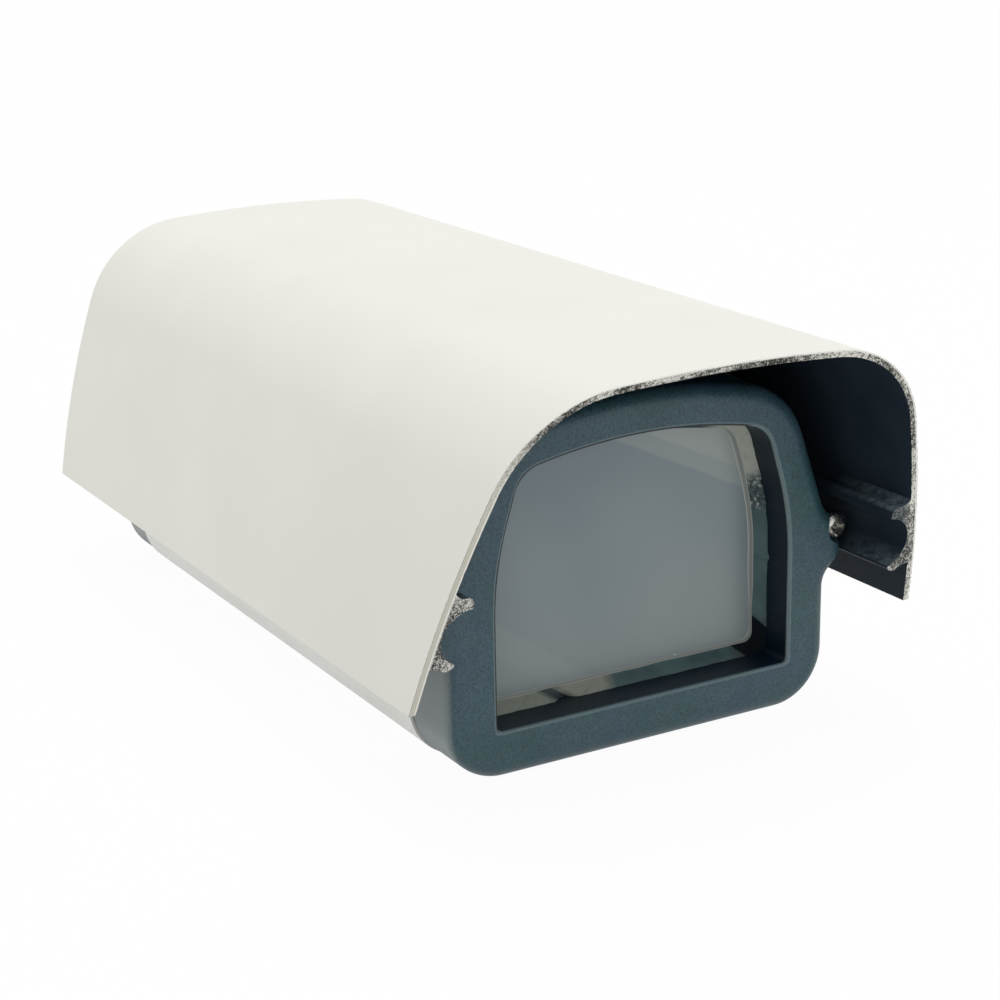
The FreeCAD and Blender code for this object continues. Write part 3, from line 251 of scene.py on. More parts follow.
def sawnAluminium(arcs):
    # Aluminium as the saw left it: fine torn specks, in some stretches thick with dark pits, and a
    # bright burr along the outside, whose white is partly a painted highlight. The rail's lips are
    # duller, with primer run over them. Up the left side the blade ran clean, and overspray of the coat
    # lies on the cut, with a darker line of painted shade at its outer edge and a pale line of painted
    # highlight at its inner edge. The specks are drawn coarser than a fine blade leaves them, so that
    # they show. The burr and the outer line are measured from the sheet's outside, the lips and the
    # inner line from its inside
    look = {"pit": 0.17, "tear": 0.5, "stretch": 9.0, "depth": 0.012, "cleanTo": -44.5,
            "tornFrom": -34.0, "burr": 0.3, "line": 0.16, "innerPaintedHighlightFrom": 0.34, "innerPaintedHighlightTo": 0.26,
            "lipFrom": -0.1, "lipTo": 0.3, "lipContrast": 0.8, "lipShift": -0.04, "lipDull": 0.2,
            "middle": 0.97, "metal": 0.5,
            "primer": {"at": (43.2, -91.2, 39.3), "reach": 3.6, "core": 0.6, "cover": 0.75},
            "pitted": {"at": (13.7, -101.2, 74.3), "reach": 9.0, "core": 0.6, "shift": -0.11}}
    material, tree, shader = newMaterial("Sawn aluminium", {})
    place = addNode(tree, "TexCoord").outputs["Object"]
    axes = addNode(tree, "SeparateXYZ", {"Vector": place}).outputs
    pit = addNode(tree, "TexNoise", {
        "Vector": place, "Scale": noiseScale(look["pit"]), "Detail": 3.0, "Roughness": 0.65})
    tear = addNode(tree, "TexNoise", {
        "Vector": place, "Scale": noiseScale(look["tear"]), "Detail": 3.0, "Roughness": 0.7})
    both = addNode(tree, "Math", {"operation": "ADD", 0: pit, 1: tear})
    depth = depthIntoSheet(tree, axes, arcs)
    onLip = addNode(tree, "MapRange", {
        "Value": depth, "From Min": (arcs["wall"] + look["lipFrom"]) * mm,
        "From Max": (arcs["wall"] + look["lipTo"]) * mm})
    beyond = addNode(tree, "MapRange", {
        "Value": axes["X"], "From Min": look["cleanTo"] * mm, "From Max": look["tornFrom"] * mm})
    torn = addNode(tree, "Math", {"operation": "MAXIMUM", 0: onLip, 1: beyond})
    # the burr's near-white along the outside is partly a painted highlight
    outer = addNode(tree, "MapRange", {
        "Value": depth, "From Min": look["burr"] * mm, "From Max": 0.7 * look["burr"] * mm})
    burr = addNode(tree, "Math", {"operation": "MULTIPLY", 0: outer, 1: beyond})
    speck = addNode(tree, "Mix", {
        "data_type": "RGBA", 0: burr, 6: tornSpecks(tree, place, both, onLip, look), 7: "#f2f1ea"})
    # painted shade: a darker line along the cut's outer edge
    line = addNode(tree, "MapRange", {
        "Value": depth, "From Min": look["line"] * mm, "From Max": 0.6 * look["line"] * mm})
    clean = addNode(tree, "Mix", {"data_type": "RGBA", 0: line, 6: "#cbc9bc", 7: "#aeada2"})
    # painted highlight: a pale line along the cut's inner edge
    inner = addNode(tree, "MapRange", {
        "Value": depth, "From Min": (arcs["wall"] - look["innerPaintedHighlightFrom"]) * mm,
        "From Max": (arcs["wall"] - look["innerPaintedHighlightTo"]) * mm})
    clean = addNode(tree, "Mix", {"data_type": "RGBA", 0: inner, 6: clean, 7: "#f1efe7"})
    colour = addNode(tree, "Mix", {"data_type": "RGBA", 0: torn, 6: clean, 7: speck})
    metal = addNode(tree, "Math", {"operation": "MULTIPLY", 0: torn, 1: look["metal"]})
    rough = addNode(tree, "MapRange", {
        "Value": both, "From Min": 0.8, "From Max": 1.1, "To Min": 0.7, "To Max": 0.4})
    height = addNode(tree, "Math", {"operation": "MULTIPLY", 0: both, 1: torn})
    relief = addNode(tree, "Bump", {"Height": height, "Distance": look["depth"] * mm})
    setNode(tree, shader, {
        "Base Color": colour, "Metallic": metal, "Roughness": rough, "Normal": relief})
    return material


def beyondLine(tree, axes, start, end, softness):
    # 0 to the left of a straight line drawn on the pane from start to end, in millimetres across
    # and up, and 1 to its right; a positive softness blurs the step
    length = math.hypot(end[0] - start[0], end[1] - start[1])
    slopeX, slopeZ = (end[1] - start[1]) / length, (start[0] - end[0]) / length
    behind = -(slopeX * start[0] + slopeZ * start[1]) * mm
    past = addNode(tree, "Math", {"operation": "MULTIPLY_ADD", 0: axes["Z"], 1: slopeZ, 2: behind})
    past = addNode(tree, "Math", {"operation": "MULTIPLY_ADD", 0: axes["X"], 1: slopeX, 2: past})
    return addNode(tree, "MapRange", {
        "Value": past, "From Min": -softness * mm, "From Max": softness * mm})


def pastWindowEdge(tree, axes):
    # How far a point lies outside the window opening's outline, in metres, and below nothing inside
    # it: the greatest of its distances past the foot, the upright side, the leaning side and the
    # crown, where a smoothed greatest stands for the knee's and the shoulder's rounding
    edge = {"half": 30.8, "low": 9.3, "kneeAcross": 28.32, "kneeUp": 45.98, "lean": 17.1,
            "crownRadius": 106.1, "crownMiddle": -48.1, "kneeBlend": 3.5, "shoulderBlend": 5.0,
            "footBlend": 2.1}
    aside = addNode(tree, "Math", {"operation": "ABSOLUTE", 0: axes["X"]})
    side = addNode(tree, "Math", {"operation": "SUBTRACT", 0: aside, 1: edge["half"] * mm})
    cosine, sine = math.cos(math.radians(edge["lean"])), math.sin(math.radians(edge["lean"]))
    reach = (edge["kneeAcross"] * cosine + edge["kneeUp"] * sine) * mm
    leaning = addNode(tree, "Math", {"operation": "MULTIPLY_ADD", 0: axes["Z"], 1: sine, 2: -reach})
    leaning = addNode(tree, "Math", {"operation": "MULTIPLY_ADD", 0: aside, 1: cosine, 2: leaning})
    flat = addNode(tree, "CombineXYZ", {"X": aside, "Z": axes["Z"]})
    away = addNode(tree, "VectorMath", {
        "operation": "DISTANCE", 0: flat, 1: (0, 0, edge["crownMiddle"] * mm)})
    crown = addNode(tree, "Math", {"operation": "SUBTRACT", 0: away, 1: edge["crownRadius"] * mm})
    foot = addNode(tree, "Math", {"operation": "SUBTRACT", 0: edge["low"] * mm, 1: axes["Z"]})
    past = side
    for other, blend in ((leaning, "kneeBlend"), (crown, "shoulderBlend"), (foot, "footBlend")):
        past = addNode(tree, "Math", {"operation": "SMOOTH_MAX", 0: past, 1: other, 2: edge[blend] * mm})
    return past


def slateWithPaintedSheen(tree, place, axes, fine, look):
    # teal and blue clouds, grain and specks, and a lighter grey on the faces that look sideways, a painted
    # sheen, paler at the rear as painted light
    cloud = addNode(tree, "TexNoise", {"Vector": place, "Scale": noiseScale(look["cloud"])})
    patch = addNode(tree, "TexNoise", {
        "Vector": place, "Scale": noiseScale(look["patch"]), "Detail": 3.0, "Roughness": 0.6})
    speck = addNode(tree, "TexNoise", {
        "Vector": place, "Scale": noiseScale(look["speck"]), "Roughness": 0.7})
    blue = addNode(tree, "MapRange", {"Value": cloud, "From Min": 0.42, "From Max": 0.58})
    paint = addNode(tree, "Mix", {"data_type": "RGBA", 0: blue, 6: "#2f5459", 7: "#3a5665"})
    layers = [
        {"noise": patch, "from": 0.35, "to": 0.65, "shares": (0.0, 0.4), "colour": "#44646c"},
        {"noise": fine, "from": 0.35, "to": 0.55, "shares": (0.7, 0.0), "colour": "#1a2f36"},
        {"noise": speck, "from": 0.58, "to": 0.7, "shares": (0.0, 0.35), "colour": "#4f6e74"},
    ]
    for layer in layers:
        share = addNode(tree, "MapRange", {
            "Value": layer["noise"], "From Min": layer["from"], "From Max": layer["to"],
            "To Min": layer["shares"][0], "To Max": layer["shares"][1]})
        paint = addNode(tree, "Mix", {"data_type": "RGBA", 0: share, 6: paint, 7: layer["colour"]})
    normal = addNode(tree, "TexCoord").outputs["Normal"]
    sideways = addNode(tree, "SeparateXYZ", {"Vector": normal}).outputs["X"]
    sideways = addNode(tree, "Math", {"operation": "ABSOLUTE", 0: sideways})
    # painted sheen: faces that look sideways are lightened to grey, more on the rear cap as painted light
    paintedSheenShare = addNode(tree, "MapRange", {
        "Value": sideways, "From Min": 0.75, "From Max": 0.95, "To Max": look["paintedSheen"]})
    atRear = addNode(tree, "Math", {"operation": "GREATER_THAN", 0: axes["Y"], 1: 0.0})
    paintedSheen = addNode(tree, "Mix", {"data_type": "RGBA", 0: atRear, 6: "#949c9a", 7: "#b4b5b0"})
    return addNode(tree, "Mix", {"data_type": "RGBA", 0: paintedSheenShare, 6: paint, 7: paintedSheen})


def slatePowderCoat():
    # Slate-grey textured powder coat on the castings: fine grain, dull sheen, clouds of teal and of
    # blue; the faces that look sideways are painted a lighter grey as painted sheen, paler still on the
    # rear cap as painted light; the walls of the window opening are painted near black as painted
    # shade, and its edge has a pale line of painted highlight, and a dark line of painted shade where it
    # meets the pane along the crown and the left side. The grain is drawn at about twice its real
    # 0.2 mm, so that it shows
    look = {"grain": 0.4, "grainDepth": 0.015, "speck": 0.9, "cloud": 16.0, "patch": 5.0, "paintedSheen": 0.64,
            "openingFront": -76.8, "openingSoft": 0.2, "openingRear": -60.0, "paintedShadeWallFrom": 0.12,
            "paintedShadeWallTo": 0.08, "faceFrom": -76.9, "line": 0.28, "paintedEdgeHighlight": 0.6, "paintedEdgeHighlightShare": 0.3,
            "paintedShadeLineFrom": (22.5, 57.0), "paintedShadeLineTo": (-30.8, 9.5), "paintedShadeLineSoft": 0.5}
    material, tree, shader = newMaterial("Slate powder coat", {"Specular IOR Level": 0.5})
    place = addNode(tree, "TexCoord").outputs["Object"]
    axes = addNode(tree, "SeparateXYZ", {"Vector": place}).outputs
    fine = addNode(tree, "TexNoise", {"Vector": place, "Scale": noiseScale(look["grain"]), "Roughness": 0.6})
    paint = slateWithPaintedSheen(tree, place, axes, fine, look)
    past = pastWindowEdge(tree, axes)
    face = addNode(tree, "Math", {"operation": "LESS_THAN", 0: axes["Y"], 1: look["faceFrom"] * mm})
    # painted highlight: a pale line just outside the opening's edge on the front face
    paintedEdgeHighlight = addNode(tree, "MapRange", {
        "Value": past, "From Min": 0.8 * look["paintedEdgeHighlight"] * mm, "From Max": look["paintedEdgeHighlight"] * mm,
        "To Min": look["paintedEdgeHighlightShare"], "To Max": 0.0})
    paintedEdgeHighlight = addNode(tree, "Math", {"operation": "MULTIPLY", 0: face, 1: paintedEdgeHighlight})
    paint = addNode(tree, "Mix", {"data_type": "RGBA", 0: paintedEdgeHighlight, 6: paint, 7: "#93a4a8"})
    # painted shade: a dark line at the opening's edge along the crown and the left side
    line = addNode(tree, "MapRange", {
        "Value": past, "From Min": 0.8 * look["line"] * mm, "From Max": 1.2 * look["line"] * mm,
        "To Min": 1.0, "To Max": 0.0})
    line = addNode(tree, "Math", {"operation": "MULTIPLY", 0: face, 1: line})
    crownAndLeft = beyondLine(tree, axes, look["paintedShadeLineFrom"], look["paintedShadeLineTo"], look["paintedShadeLineSoft"])
    line = addNode(tree, "Math", {"operation": "MULTIPLY", 0: line, 1: crownAndLeft})
    paint = addNode(tree, "Mix", {"data_type": "RGBA", 0: line, 6: paint, 7: "#0a161b"})
    # painted shade: the opening's walls are painted near black
    wall = addNode(tree, "MapRange", {
        "Value": past, "From Min": look["paintedShadeWallTo"] * mm, "From Max": look["paintedShadeWallFrom"] * mm,
        "To Min": 1.0, "To Max": 0.0})
    behindFace = addNode(tree, "MapRange", {
        "Value": axes["Y"], "From Min": look["openingFront"] * mm,
        "From Max": (look["openingFront"] + look["openingSoft"]) * mm})
    beforeRear = addNode(tree, "Math", {
        "operation": "LESS_THAN", 0: axes["Y"], 1: look["openingRear"] * mm})
    inside = addNode(tree, "Math", {"operation": "MULTIPLY", 0: wall, 1: behindFace})
    inside = addNode(tree, "Math", {"operation": "MULTIPLY", 0: inside, 1: beforeRear})
    paint = addNode(tree, "Mix", {"data_type": "RGBA", 0: inside, 6: paint, 7: "#031a2a"})
    rough = addNode(tree, "MapRange", {
        "Value": fine, "From Min": 0.3, "From Max": 0.7, "To Min": 0.38, "To Max": 0.5})
    relief = addNode(tree, "Bump", {"Height": fine, "Distance": look["grainDepth"] * mm})
    setNode(tree, shader, {"Base Color": paint, "Roughness": rough, "Normal": relief})
    return material


def windowGlass():
    # Float glass behind years of dust and film: grey, barely clear, its reflections blurred, and
    # paler in straight slanting bands where it was wiped, with a few specks
    look = {"cloud": 26.0, "speck": 1.3, "low": 14.0, "high": 48.0, "bandSoft": 0.3}
    bands = [
        {"from": (26.16, 41.67), "to": (-0.49, 54.44), "share": 0.45},
        {"from": (25.18, 45.61), "to": (7.69, 53.92), "share": 0.45},
        {"from": (-23.71, 18.2), "to": (-17.56, 13.14), "share": -0.1},
        {"from": (-17.09, 19.15), "to": (-9.05, 13.23), "share": 0.16},
    ]
    material, tree, shader = newMaterial("Float glass", {"IOR": 1.52, "Roughness": 0.28})
    place = addNode(tree, "TexCoord").outputs["Object"]
    axes = addNode(tree, "SeparateXYZ", {"Vector": place}).outputs
    cloud = addNode(tree, "TexNoise", {"Vector": place, "Scale": noiseScale(look["cloud"]), "Detail": 1.0})
    cloudy = addNode(tree, "MapRange", {
        "Value": cloud, "From Min": 0.35, "From Max": 0.65, "To Min": 0.0, "To Max": 0.2})
    lowDown = addNode(tree, "MapRange", {
        "Value": axes["Z"], "From Min": look["low"] * mm, "From Max": look["high"] * mm,
        "To Min": 0.35, "To Max": 0.0})
    pale = addNode(tree, "Math", {"operation": "ADD", 0: cloudy, 1: lowDown})
    for band in bands:
        side = beyondLine(tree, axes, band["from"], band["to"], look["bandSoft"])
        pale = addNode(tree, "Math", {"operation": "MULTIPLY_ADD", 0: side, 1: band["share"], 2: pale})
    grey = addNode(tree, "Mix", {"data_type": "RGBA", 0: pale, 6: "#7d8d94", 7: "#a2aaa9"})
    speck = addNode(tree, "TexNoise", {"Vector": place, "Scale": noiseScale(look["speck"]), "Detail": 1.0})
    dot = addNode(tree, "MapRange", {"Value": speck, "From Min": 0.81, "From Max": 0.83})
    colour = addNode(tree, "Mix", {"data_type": "RGBA", 0: dot, 6: grey, 7: "#e4e4e0"})
    clear = addNode(tree, "MapRange", {"Value": pale, "To Min": 0.05, "To Max": 0.03})
    setNode(tree, shader, {"Base Color": colour, "Transmission Weight": clear})
    return material


def scrapedSealant(tree, place, colour):
    # dark chips and pale crumbs where something scraped the right side below the upper corner
    scrape = {"at": (29.3, -69.6, 41.0), "reach": 4.5, "core": 0.5, "chip": 0.8}
    scraped = nearPlace(tree, place, scrape)
    chip = addNode(tree, "TexNoise", {
        "Vector": place, "Scale": noiseScale(scrape["chip"]), "Roughness": 0.6})
    for low, high, mark in ((0.5, 0.56, "#101c20"), (0.42, 0.36, "#a9aeaa")):
        share = addNode(tree, "MapRange", {"Value": chip, "From Min": low, "From Max": high})
        share = addNode(tree, "Math", {"operation": "MULTIPLY", 0: scraped, 1: share})
        colour = addNode(tree, "Mix", {"data_type": "RGBA", 0: share, 6: colour, 7: mark})
    return colour


def siliconeSealant():
    # Silicone sealant laid by hand: rubbery, greenish grey, paler where it is thick and near black in
    # the lower right corner, as painted shade; beyond its edge (1 across the bead) a wiped film ends
    # at 2 in a thin ridge, and a pale line just past the bead's edge is a painted highlight
    look = {"patch": 9.0, "lump": 0.9, "lumpDepth": 0.05}
    spots = [
        {"at": (-24.0, -69.6, 11.0), "reach": 12.0, "core": 0.6, "colour": "#7e877b"},
        {"at": (-9.0, -69.6, 10.5), "reach": 7.0, "core": 0.6, "colour": "#8b8e84"},
        {"at": (25.0, -69.6, 50.5), "reach": 9.5, "core": 0.6, "colour": "#a0a79d"},
        # painted shade: the near black spot in the lower right corner
        {"at": (30.5, -69.6, 9.0), "reach": 8.0, "core": 0.6, "colour": "#060a0c"},
    ]
    cut = {"from": (-18.2, 11.7), "to": (-14.0, 8.9), "width": 2.8, "nearSoft": 0.5, "farSoft": 0.15}
    material, tree, shader = newMaterial("Silicone sealant", {"Roughness": 0.5})
    place = addNode(tree, "TexCoord").outputs["Object"]
    patch = addNode(tree, "TexNoise", {"Vector": place, "Scale": noiseScale(look["patch"])})
    lump = addNode(tree, "TexNoise", {
        "Vector": place, "Scale": noiseScale(look["lump"]), "Detail": 3.0, "Roughness": 0.6})
    share = addNode(tree, "MapRange", {"Value": patch, "From Min": 0.4, "From Max": 0.62})
    colour = addNode(tree, "Mix", {"data_type": "RGBA", 0: share, 6: "#28464a", 7: "#3b5859"})
    for spot in spots:
        near = nearPlace(tree, place, spot)
        colour = addNode(tree, "Mix", {"data_type": "RGBA", 0: near, 6: colour, 7: spot["colour"]})
    hollow = addNode(tree, "MapRange", {
        "Value": lump, "From Min": 0.3, "From Max": 0.5, "To Min": 0.25, "To Max": 0.0})
    colour = addNode(tree, "Mix", {"data_type": "RGBA", 0: hollow, 6: colour, 7: "#2c3836"})
    colour = scrapedSealant(tree, place, colour)
    # A knife slip right through the bead, painted dark between two slanting lines as painted shade in the
    # notch
    axes = addNode(tree, "SeparateXYZ", {"Vector": place}).outputs
    nearSide = beyondLine(tree, axes, cut["from"], cut["to"], cut["nearSoft"])
    shifted = [(x + cut["width"], z) for x, z in (cut["from"], cut["to"])]
    farSide = beyondLine(tree, axes, *shifted, cut["farSoft"])
    paintedCutShade = addNode(tree, "Math", {"operation": "SUBTRACT", 0: farSide, 1: nearSide})
    colour = addNode(tree, "Mix", {"data_type": "RGBA", 0: paintedCutShade, 6: colour, 7: "#1c2b30"})
    section = addNode(tree, "UVMap", {"uv_map": "acrossBead"})
    over = addNode(tree, "SeparateXYZ", {"Vector": section}).outputs["Y"]
    # painted highlight: the pale line just past the bead's edge; the pale line at the film's end is its
    # ridge
    beadEdgePaintedHighlight = addNode(tree, "MapRange", {
        "Value": over, "From Min": 1.12, "From Max": 1.2, "To Min": 1.0, "To Max": 0.0})
    outerRidge = addNode(tree, "MapRange", {"Value": over, "From Min": 1.8, "From Max": 1.9})
    ridgeAndPaintedHighlight = addNode(tree, "Math", {"operation": "MAXIMUM", 0: beadEdgePaintedHighlight, 1: outerRidge})
    film = addNode(tree, "Mix", {"data_type": "RGBA", 0: ridgeAndPaintedHighlight, 6: "#8a908d", 7: "#a9aeaa"})
    onFilm = addNode(tree, "MapRange", {"Value": over, "From Min": 0.99, "From Max": 1.02})
    colour = addNode(tree, "Mix", {"data_type": "RGBA", 0: onFilm, 6: colour, 7: film})
    relief = addNode(tree, "Bump", {"Height": lump, "Distance": look["lumpDepth"] * mm})
    setNode(tree, shader, {"Base Color": colour, "Normal": relief})
    return material


def paintedShadeSealant():
    # The same sealant painted near black in the lower right corner, as painted shade: matt, nearly without
    # reflections
    look = {"lump": 0.9, "lumpDepth": 0.05}
    material, tree, shader = newMaterial("Sealant darkened as painted shade", {"Roughness": 0.85, "Specular IOR Level": 0.1})
    place = addNode(tree, "TexCoord").outputs["Object"]
    lump = addNode(tree, "TexNoise", {
        "Vector": place, "Scale": noiseScale(look["lump"]), "Detail": 3.0, "Roughness": 0.6})
    colour = addNode(tree, "Mix", {"data_type": "RGBA", 0: lump, 6: "#080c10", 7: "#182026"})
    relief = addNode(tree, "Bump", {"Height": lump, "Distance": look["lumpDepth"] * mm})
    setNode(tree, shader, {"Base Color": colour, "Normal": relief})
    return material


def zincPlate():
    # Zinc-plated steel: bright, slightly blotched, with a hint of straw colour; its scratches are
    # drawn wider than they are, so that they show
    look = {"blotch": 1.2, "scratch": 0.25, "scratchDepth": 0.02}
    material, tree, shader = newMaterial("Zinc plated steel", {"Metallic": 1.0})
    place = addNode(tree, "TexCoord").outputs["Object"]
    blotch = addNode(tree, "TexNoise", {"Vector": place, "Scale": noiseScale(look["blotch"]), "Detail": 3.0})
    scratch = addNode(tree, "TexNoise", {"Vector": place, "Scale": noiseScale(look["scratch"])})
    dull = addNode(tree, "MapRange", {"Value": blotch, "From Min": 0.4, "From Max": 0.62})
    colour = addNode(tree, "Mix", {"data_type": "RGBA", 0: dull, 6: "#dcdcd6", 7: "#8b8982"})
    rough = addNode(tree, "MapRange", {
        "Value": scratch, "From Min": 0.3, "From Max": 0.7, "To Min": 0.2, "To Max": 0.42})
    relief = addNode(tree, "Bump", {"Height": scratch, "Distance": look["scratchDepth"] * mm})
    setNode(tree, shader, {"Base Color": colour, "Roughness": rough, "Normal": relief})
    return material


def millAluminium():
    # Mill-finish aluminium: soft grey with rolling lines along its length
    look = {"line": 0.3, "lineDepth": 0.008, "stretched": 0.02, "patch": 14.0}
    material, tree, shader = newMaterial("Mill aluminium", {"Metallic": 1.0})
    place = addNode(tree, "TexCoord").outputs["Object"]
    drawn = addNode(tree, "Mapping", {"Vector": place, "Scale": (1, look["stretched"], 1)})
    line = addNode(tree, "TexNoise", {"Vector": drawn, "Scale": noiseScale(look["line"])})
    patch = addNode(tree, "TexNoise", {"Vector": place, "Scale": noiseScale(look["patch"]), "Detail": 3.0})
    colour = addNode(tree, "Mix", {"data_type": "RGBA", 0: patch, 6: "#b4b6b7", 7: "#c6c7c7"})
    rough = addNode(tree, "MapRange", {
        "Value": line, "From Min": 0.3, "From Max": 0.7, "To Min": 0.3, "To Max": 0.48})
    relief = addNode(tree, "Bump", {"Height": line, "Distance": look["lineDepth"] * mm})
    setNode(tree, shader, {"Base Color": colour, "Roughness": rough, "Normal": relief})
    return material


def sheetRubber():
    # Black sheet rubber: matt, with a dusty bloom
    look = {"bloom": 3.0, "grain": 0.4, "grainDepth": 0.02}
    material, tree, shader = newMaterial("Black rubber", {"Roughness": 0.75})
    place = addNode(tree, "TexCoord").outputs["Object"]
    bloom = addNode(tree, "TexNoise", {"Vector": place, "Scale": noiseScale(look["bloom"]), "Detail": 4.0})
    colour = addNode(tree, "Mix", {"data_type": "RGBA", 0: bloom, 6: "#141515", 7: "#232524"})
    fine = addNode(tree, "TexNoise", {"Vector": place, "Scale": noiseScale(look["grain"])})
    relief = addNode(tree, "Bump", {"Height": fine, "Distance": look["grainDepth"] * mm})
    setNode(tree, shader, {"Base Color": colour, "Normal": relief})
    return material


def mouldedNylon():
    # Grey moulded nylon: slightly waxy, with a spark-eroded grain from the mould
    look = {"patch": 6.0, "spark": 0.35, "sparkDepth": 0.015}
    material, tree, shader = newMaterial("Moulded nylon", {"Subsurface Weight": 0.02})
    place = addNode(tree, "TexCoord").outputs["Object"]
    patch = addNode(tree, "TexNoise", {"Vector": place, "Scale": noiseScale(look["patch"]), "Detail": 3.0})
    spark = addNode(tree, "TexNoise", {"Vector": place, "Scale": noiseScale(look["spark"])})
    colour = addNode(tree, "Mix", {"data_type": "RGBA", 0: patch, 6: "#3d4244", 7: "#484d4f"})
    rough = addNode(tree, "MapRange", {
        "Value": spark, "From Min": 0.3, "From Max": 0.7, "To Min": 0.42, "To Max": 0.58})
    relief = addNode(tree, "Bump", {"Height": spark, "Distance": look["sparkDepth"] * mm})
    setNode(tree, shader, {"Base Color": colour, "Roughness": rough, "Normal": relief})
    return material


sideCentre, cornerCentre, crownCentre, bendAngle, crownAngle = shieldArcs()
cutArcs = {
    "wall": shield["wall"],
    "circles": [(sideCentre, shield["sideRadius"]), (cornerCentre, shield["cornerRadius"]),
                (crownCentre, shield["crownRadius"])],
    "bendHeight": cornerCentre[1] + shield["cornerRadius"] * math.sin(math.radians(bendAngle)),
    "crownHalf": cornerCentre[0] + shield["cornerRadius"] * math.cos(math.radians(crownAngle)),
}
finishes = {
    "shieldPaint": satinPowderCoat("Satin powder coat", "#ecebe3", "#e9e8df", edgePaint=True),
    # the tube's coat is the shield's cream made lighter, as painted light, with a patch of painted shade
    "tubePaintWithPaintedLightAndShade": satinPowderCoat("Satin powder coat on tube with painted light and shade", "#fafaf6", "#f7f7f2", paintedShade=True),
    "inside": darkInside(),
    "sawn": sawnAluminium(cutArcs),
    "slate": slatePowderCoat(),
    "glass": windowGlass(),
    "sealant": siliconeSealant(),
    "paintedShadeSealant": paintedShadeSealant(),
    "zinc": zincPlate(),
    "mill": millAluminium(),
    "rubber": sheetRubber(),
    "nylon": mouldedNylon(),
}
nodeFinishes = {
    "tubePaintWithPaintedLightAndShade": ["body_tube"],
    "slate": ["front_bezel", "rear_cap"],
    "glass": ["window_glass"],
    "sealant": ["glass_bond"],
    "zinc": ["front_screws", "rear_screws", "bar_screws", "shield_lock_screws", "camera_screw"],
    "mill": ["mount_bar", "camera_sled"],
    "rubber": ["front_gasket", "rear_gasket", "camera_pad", "gland_seal_left", "gland_seal_right"],
    "nylon": ["camera_washer", "gland_body_left", "gland_locknut_left", "gland_nut_left",
              "gland_body_right", "gland_locknut_right", "gland_nut_right"],
}
for finish, names in nodeFinishes.items():
    for name in names:
        nodes[name].data.materials.clear()
        nodes[name].data.materials.append(finishes[finish])
print("materials made:", len(finishes))


# Helpers for meshes
def arcLine(centre, radius, start, end, count):
    # points on a circle from one angle to another, in degrees, as (across, up)
    angle = np.radians(np.linspace(start, end, count))
    return np.stack([centre[0] + radius * np.cos(angle), centre[1] + radius * np.sin(angle)], 1)


def straightLine(start, end, count):
    # points at even shares of the way from start to end
    share = np.linspace(0, 1, count)[:, None]
    return np.array(start) * (1 - share) + np.array(end) * share


def softCorners(points, radius, count=4):
    # each corner becomes a parabola from a point one radius before it to one radius after it
    points = np.array(points, float)
    before = points[:-2] - points[1:-1]
    after = points[2:] - points[1:-1]
    lengths = [np.linalg.norm(v, axis=1, keepdims=True) for v in (before, after)]
    enter = points[1:-1] + before / lengths[0] * np.minimum(radius, lengths[0] / 2)
    leave = points[1:-1] + after / lengths[1] * np.minimum(radius, lengths[1] / 2)
    t = np.linspace(0, 1, count)[None, :, None]
    curve = (1 - t) ** 2 * enter[:, None] + 2 * t * (1 - t) * points[1:-1, None] + t ** 2 * leave[:, None]
    return np.concatenate([points[:1], curve.reshape(-1, 2), points[-1:]])


def evenly(points, spacing):
    # the same line with points at even distances along it
    steps = np.linalg.norm(np.diff(points, axis=0), axis=1)
    points = points[np.concatenate([[True], steps > 1e-6])]
    along = np.concatenate([[0], np.cumsum(np.linalg.norm(np.diff(points, axis=0), axis=1))])
    places = np.linspace(0, along[-1], max(2, int(round(along[-1] / spacing)) + 1))
    return np.stack([np.interp(places, along, points[:, k]) for k in range(2)], 1)


def alongLoop(loop):
    # each point's distance along a closed line, and the whole line's length
    steps = np.linalg.norm(np.roll(loop, -1, 0) - loop, axis=1)
    return np.concatenate([[0], np.cumsum(steps)[:-1]]), steps.sum()


def wander(along, length, wavelength, seed, sines=8):
    # smooth wandering from about -1 to 1: sines that fit the loop's length, phases seeded
    random = np.random.default_rng(seed)
    turns = np.maximum(1, np.round(length / wavelength * random.uniform(0.5, 1.8, sines)))
    phases = random.uniform(0, 2 * np.pi, sines)
    return np.sin(np.outer(along, turns * 2 * np.pi / length) + phases).sum(1) / 3


def gridFaces(rows, columns, closeRows=False, closeColumns=False):
    # quads of a grid whose vertices are numbered row by row
    row = np.arange(rows if closeRows else rows - 1)
    column = np.arange(columns if closeColumns else columns - 1)
    a, b = np.meshgrid(row, column, indexing="ij")
    nextRow, nextColumn = (a + 1) % rows, (b + 1) % columns
    corners = [a * columns + b, nextRow * columns + b,
               nextRow * columns + nextColumn, a * columns + nextColumn]
    return np.stack(corners, -1).reshape(-1, 4)


def addPiece(name, points, faces, materials, smoothAngle=30):
    # points in millimetres become a mesh piece in metres, at the origin
    mesh = bpy.data.meshes.new(name)
    mesh.from_pydata((np.asarray(points) * mm).tolist(), [], faces)
    for material in materials:
        mesh.materials.append(material)
    mesh.update()
    mesh.shade_smooth()
    mesh.set_sharp_from_angle(angle=math.radians(smoothAngle))
    piece = bpy.data.objects.new(name, mesh)
    bpy.context.scene.collection.objects.link(piece)
    return piece


def addVertexMap(piece, name, values):
    # a UV map that gives each face's corner the pair of values of its vertex
    used = np.zeros(len(piece.data.loops), np.int32)
    piece.data.loops.foreach_get("vertex_index", used)
    layer = piece.data.uv_layers.new(name=name)
    layer.data.foreach_set("uv", values[used].astype(np.float32).ravel())


# The sunshield's outline, its rails and its skin
def sideAngle(side, radius, height):
    # the angle, in degrees, at which an arc about the side's centre passes a height
    return math.degrees(math.asin((height - side[1]) / radius))


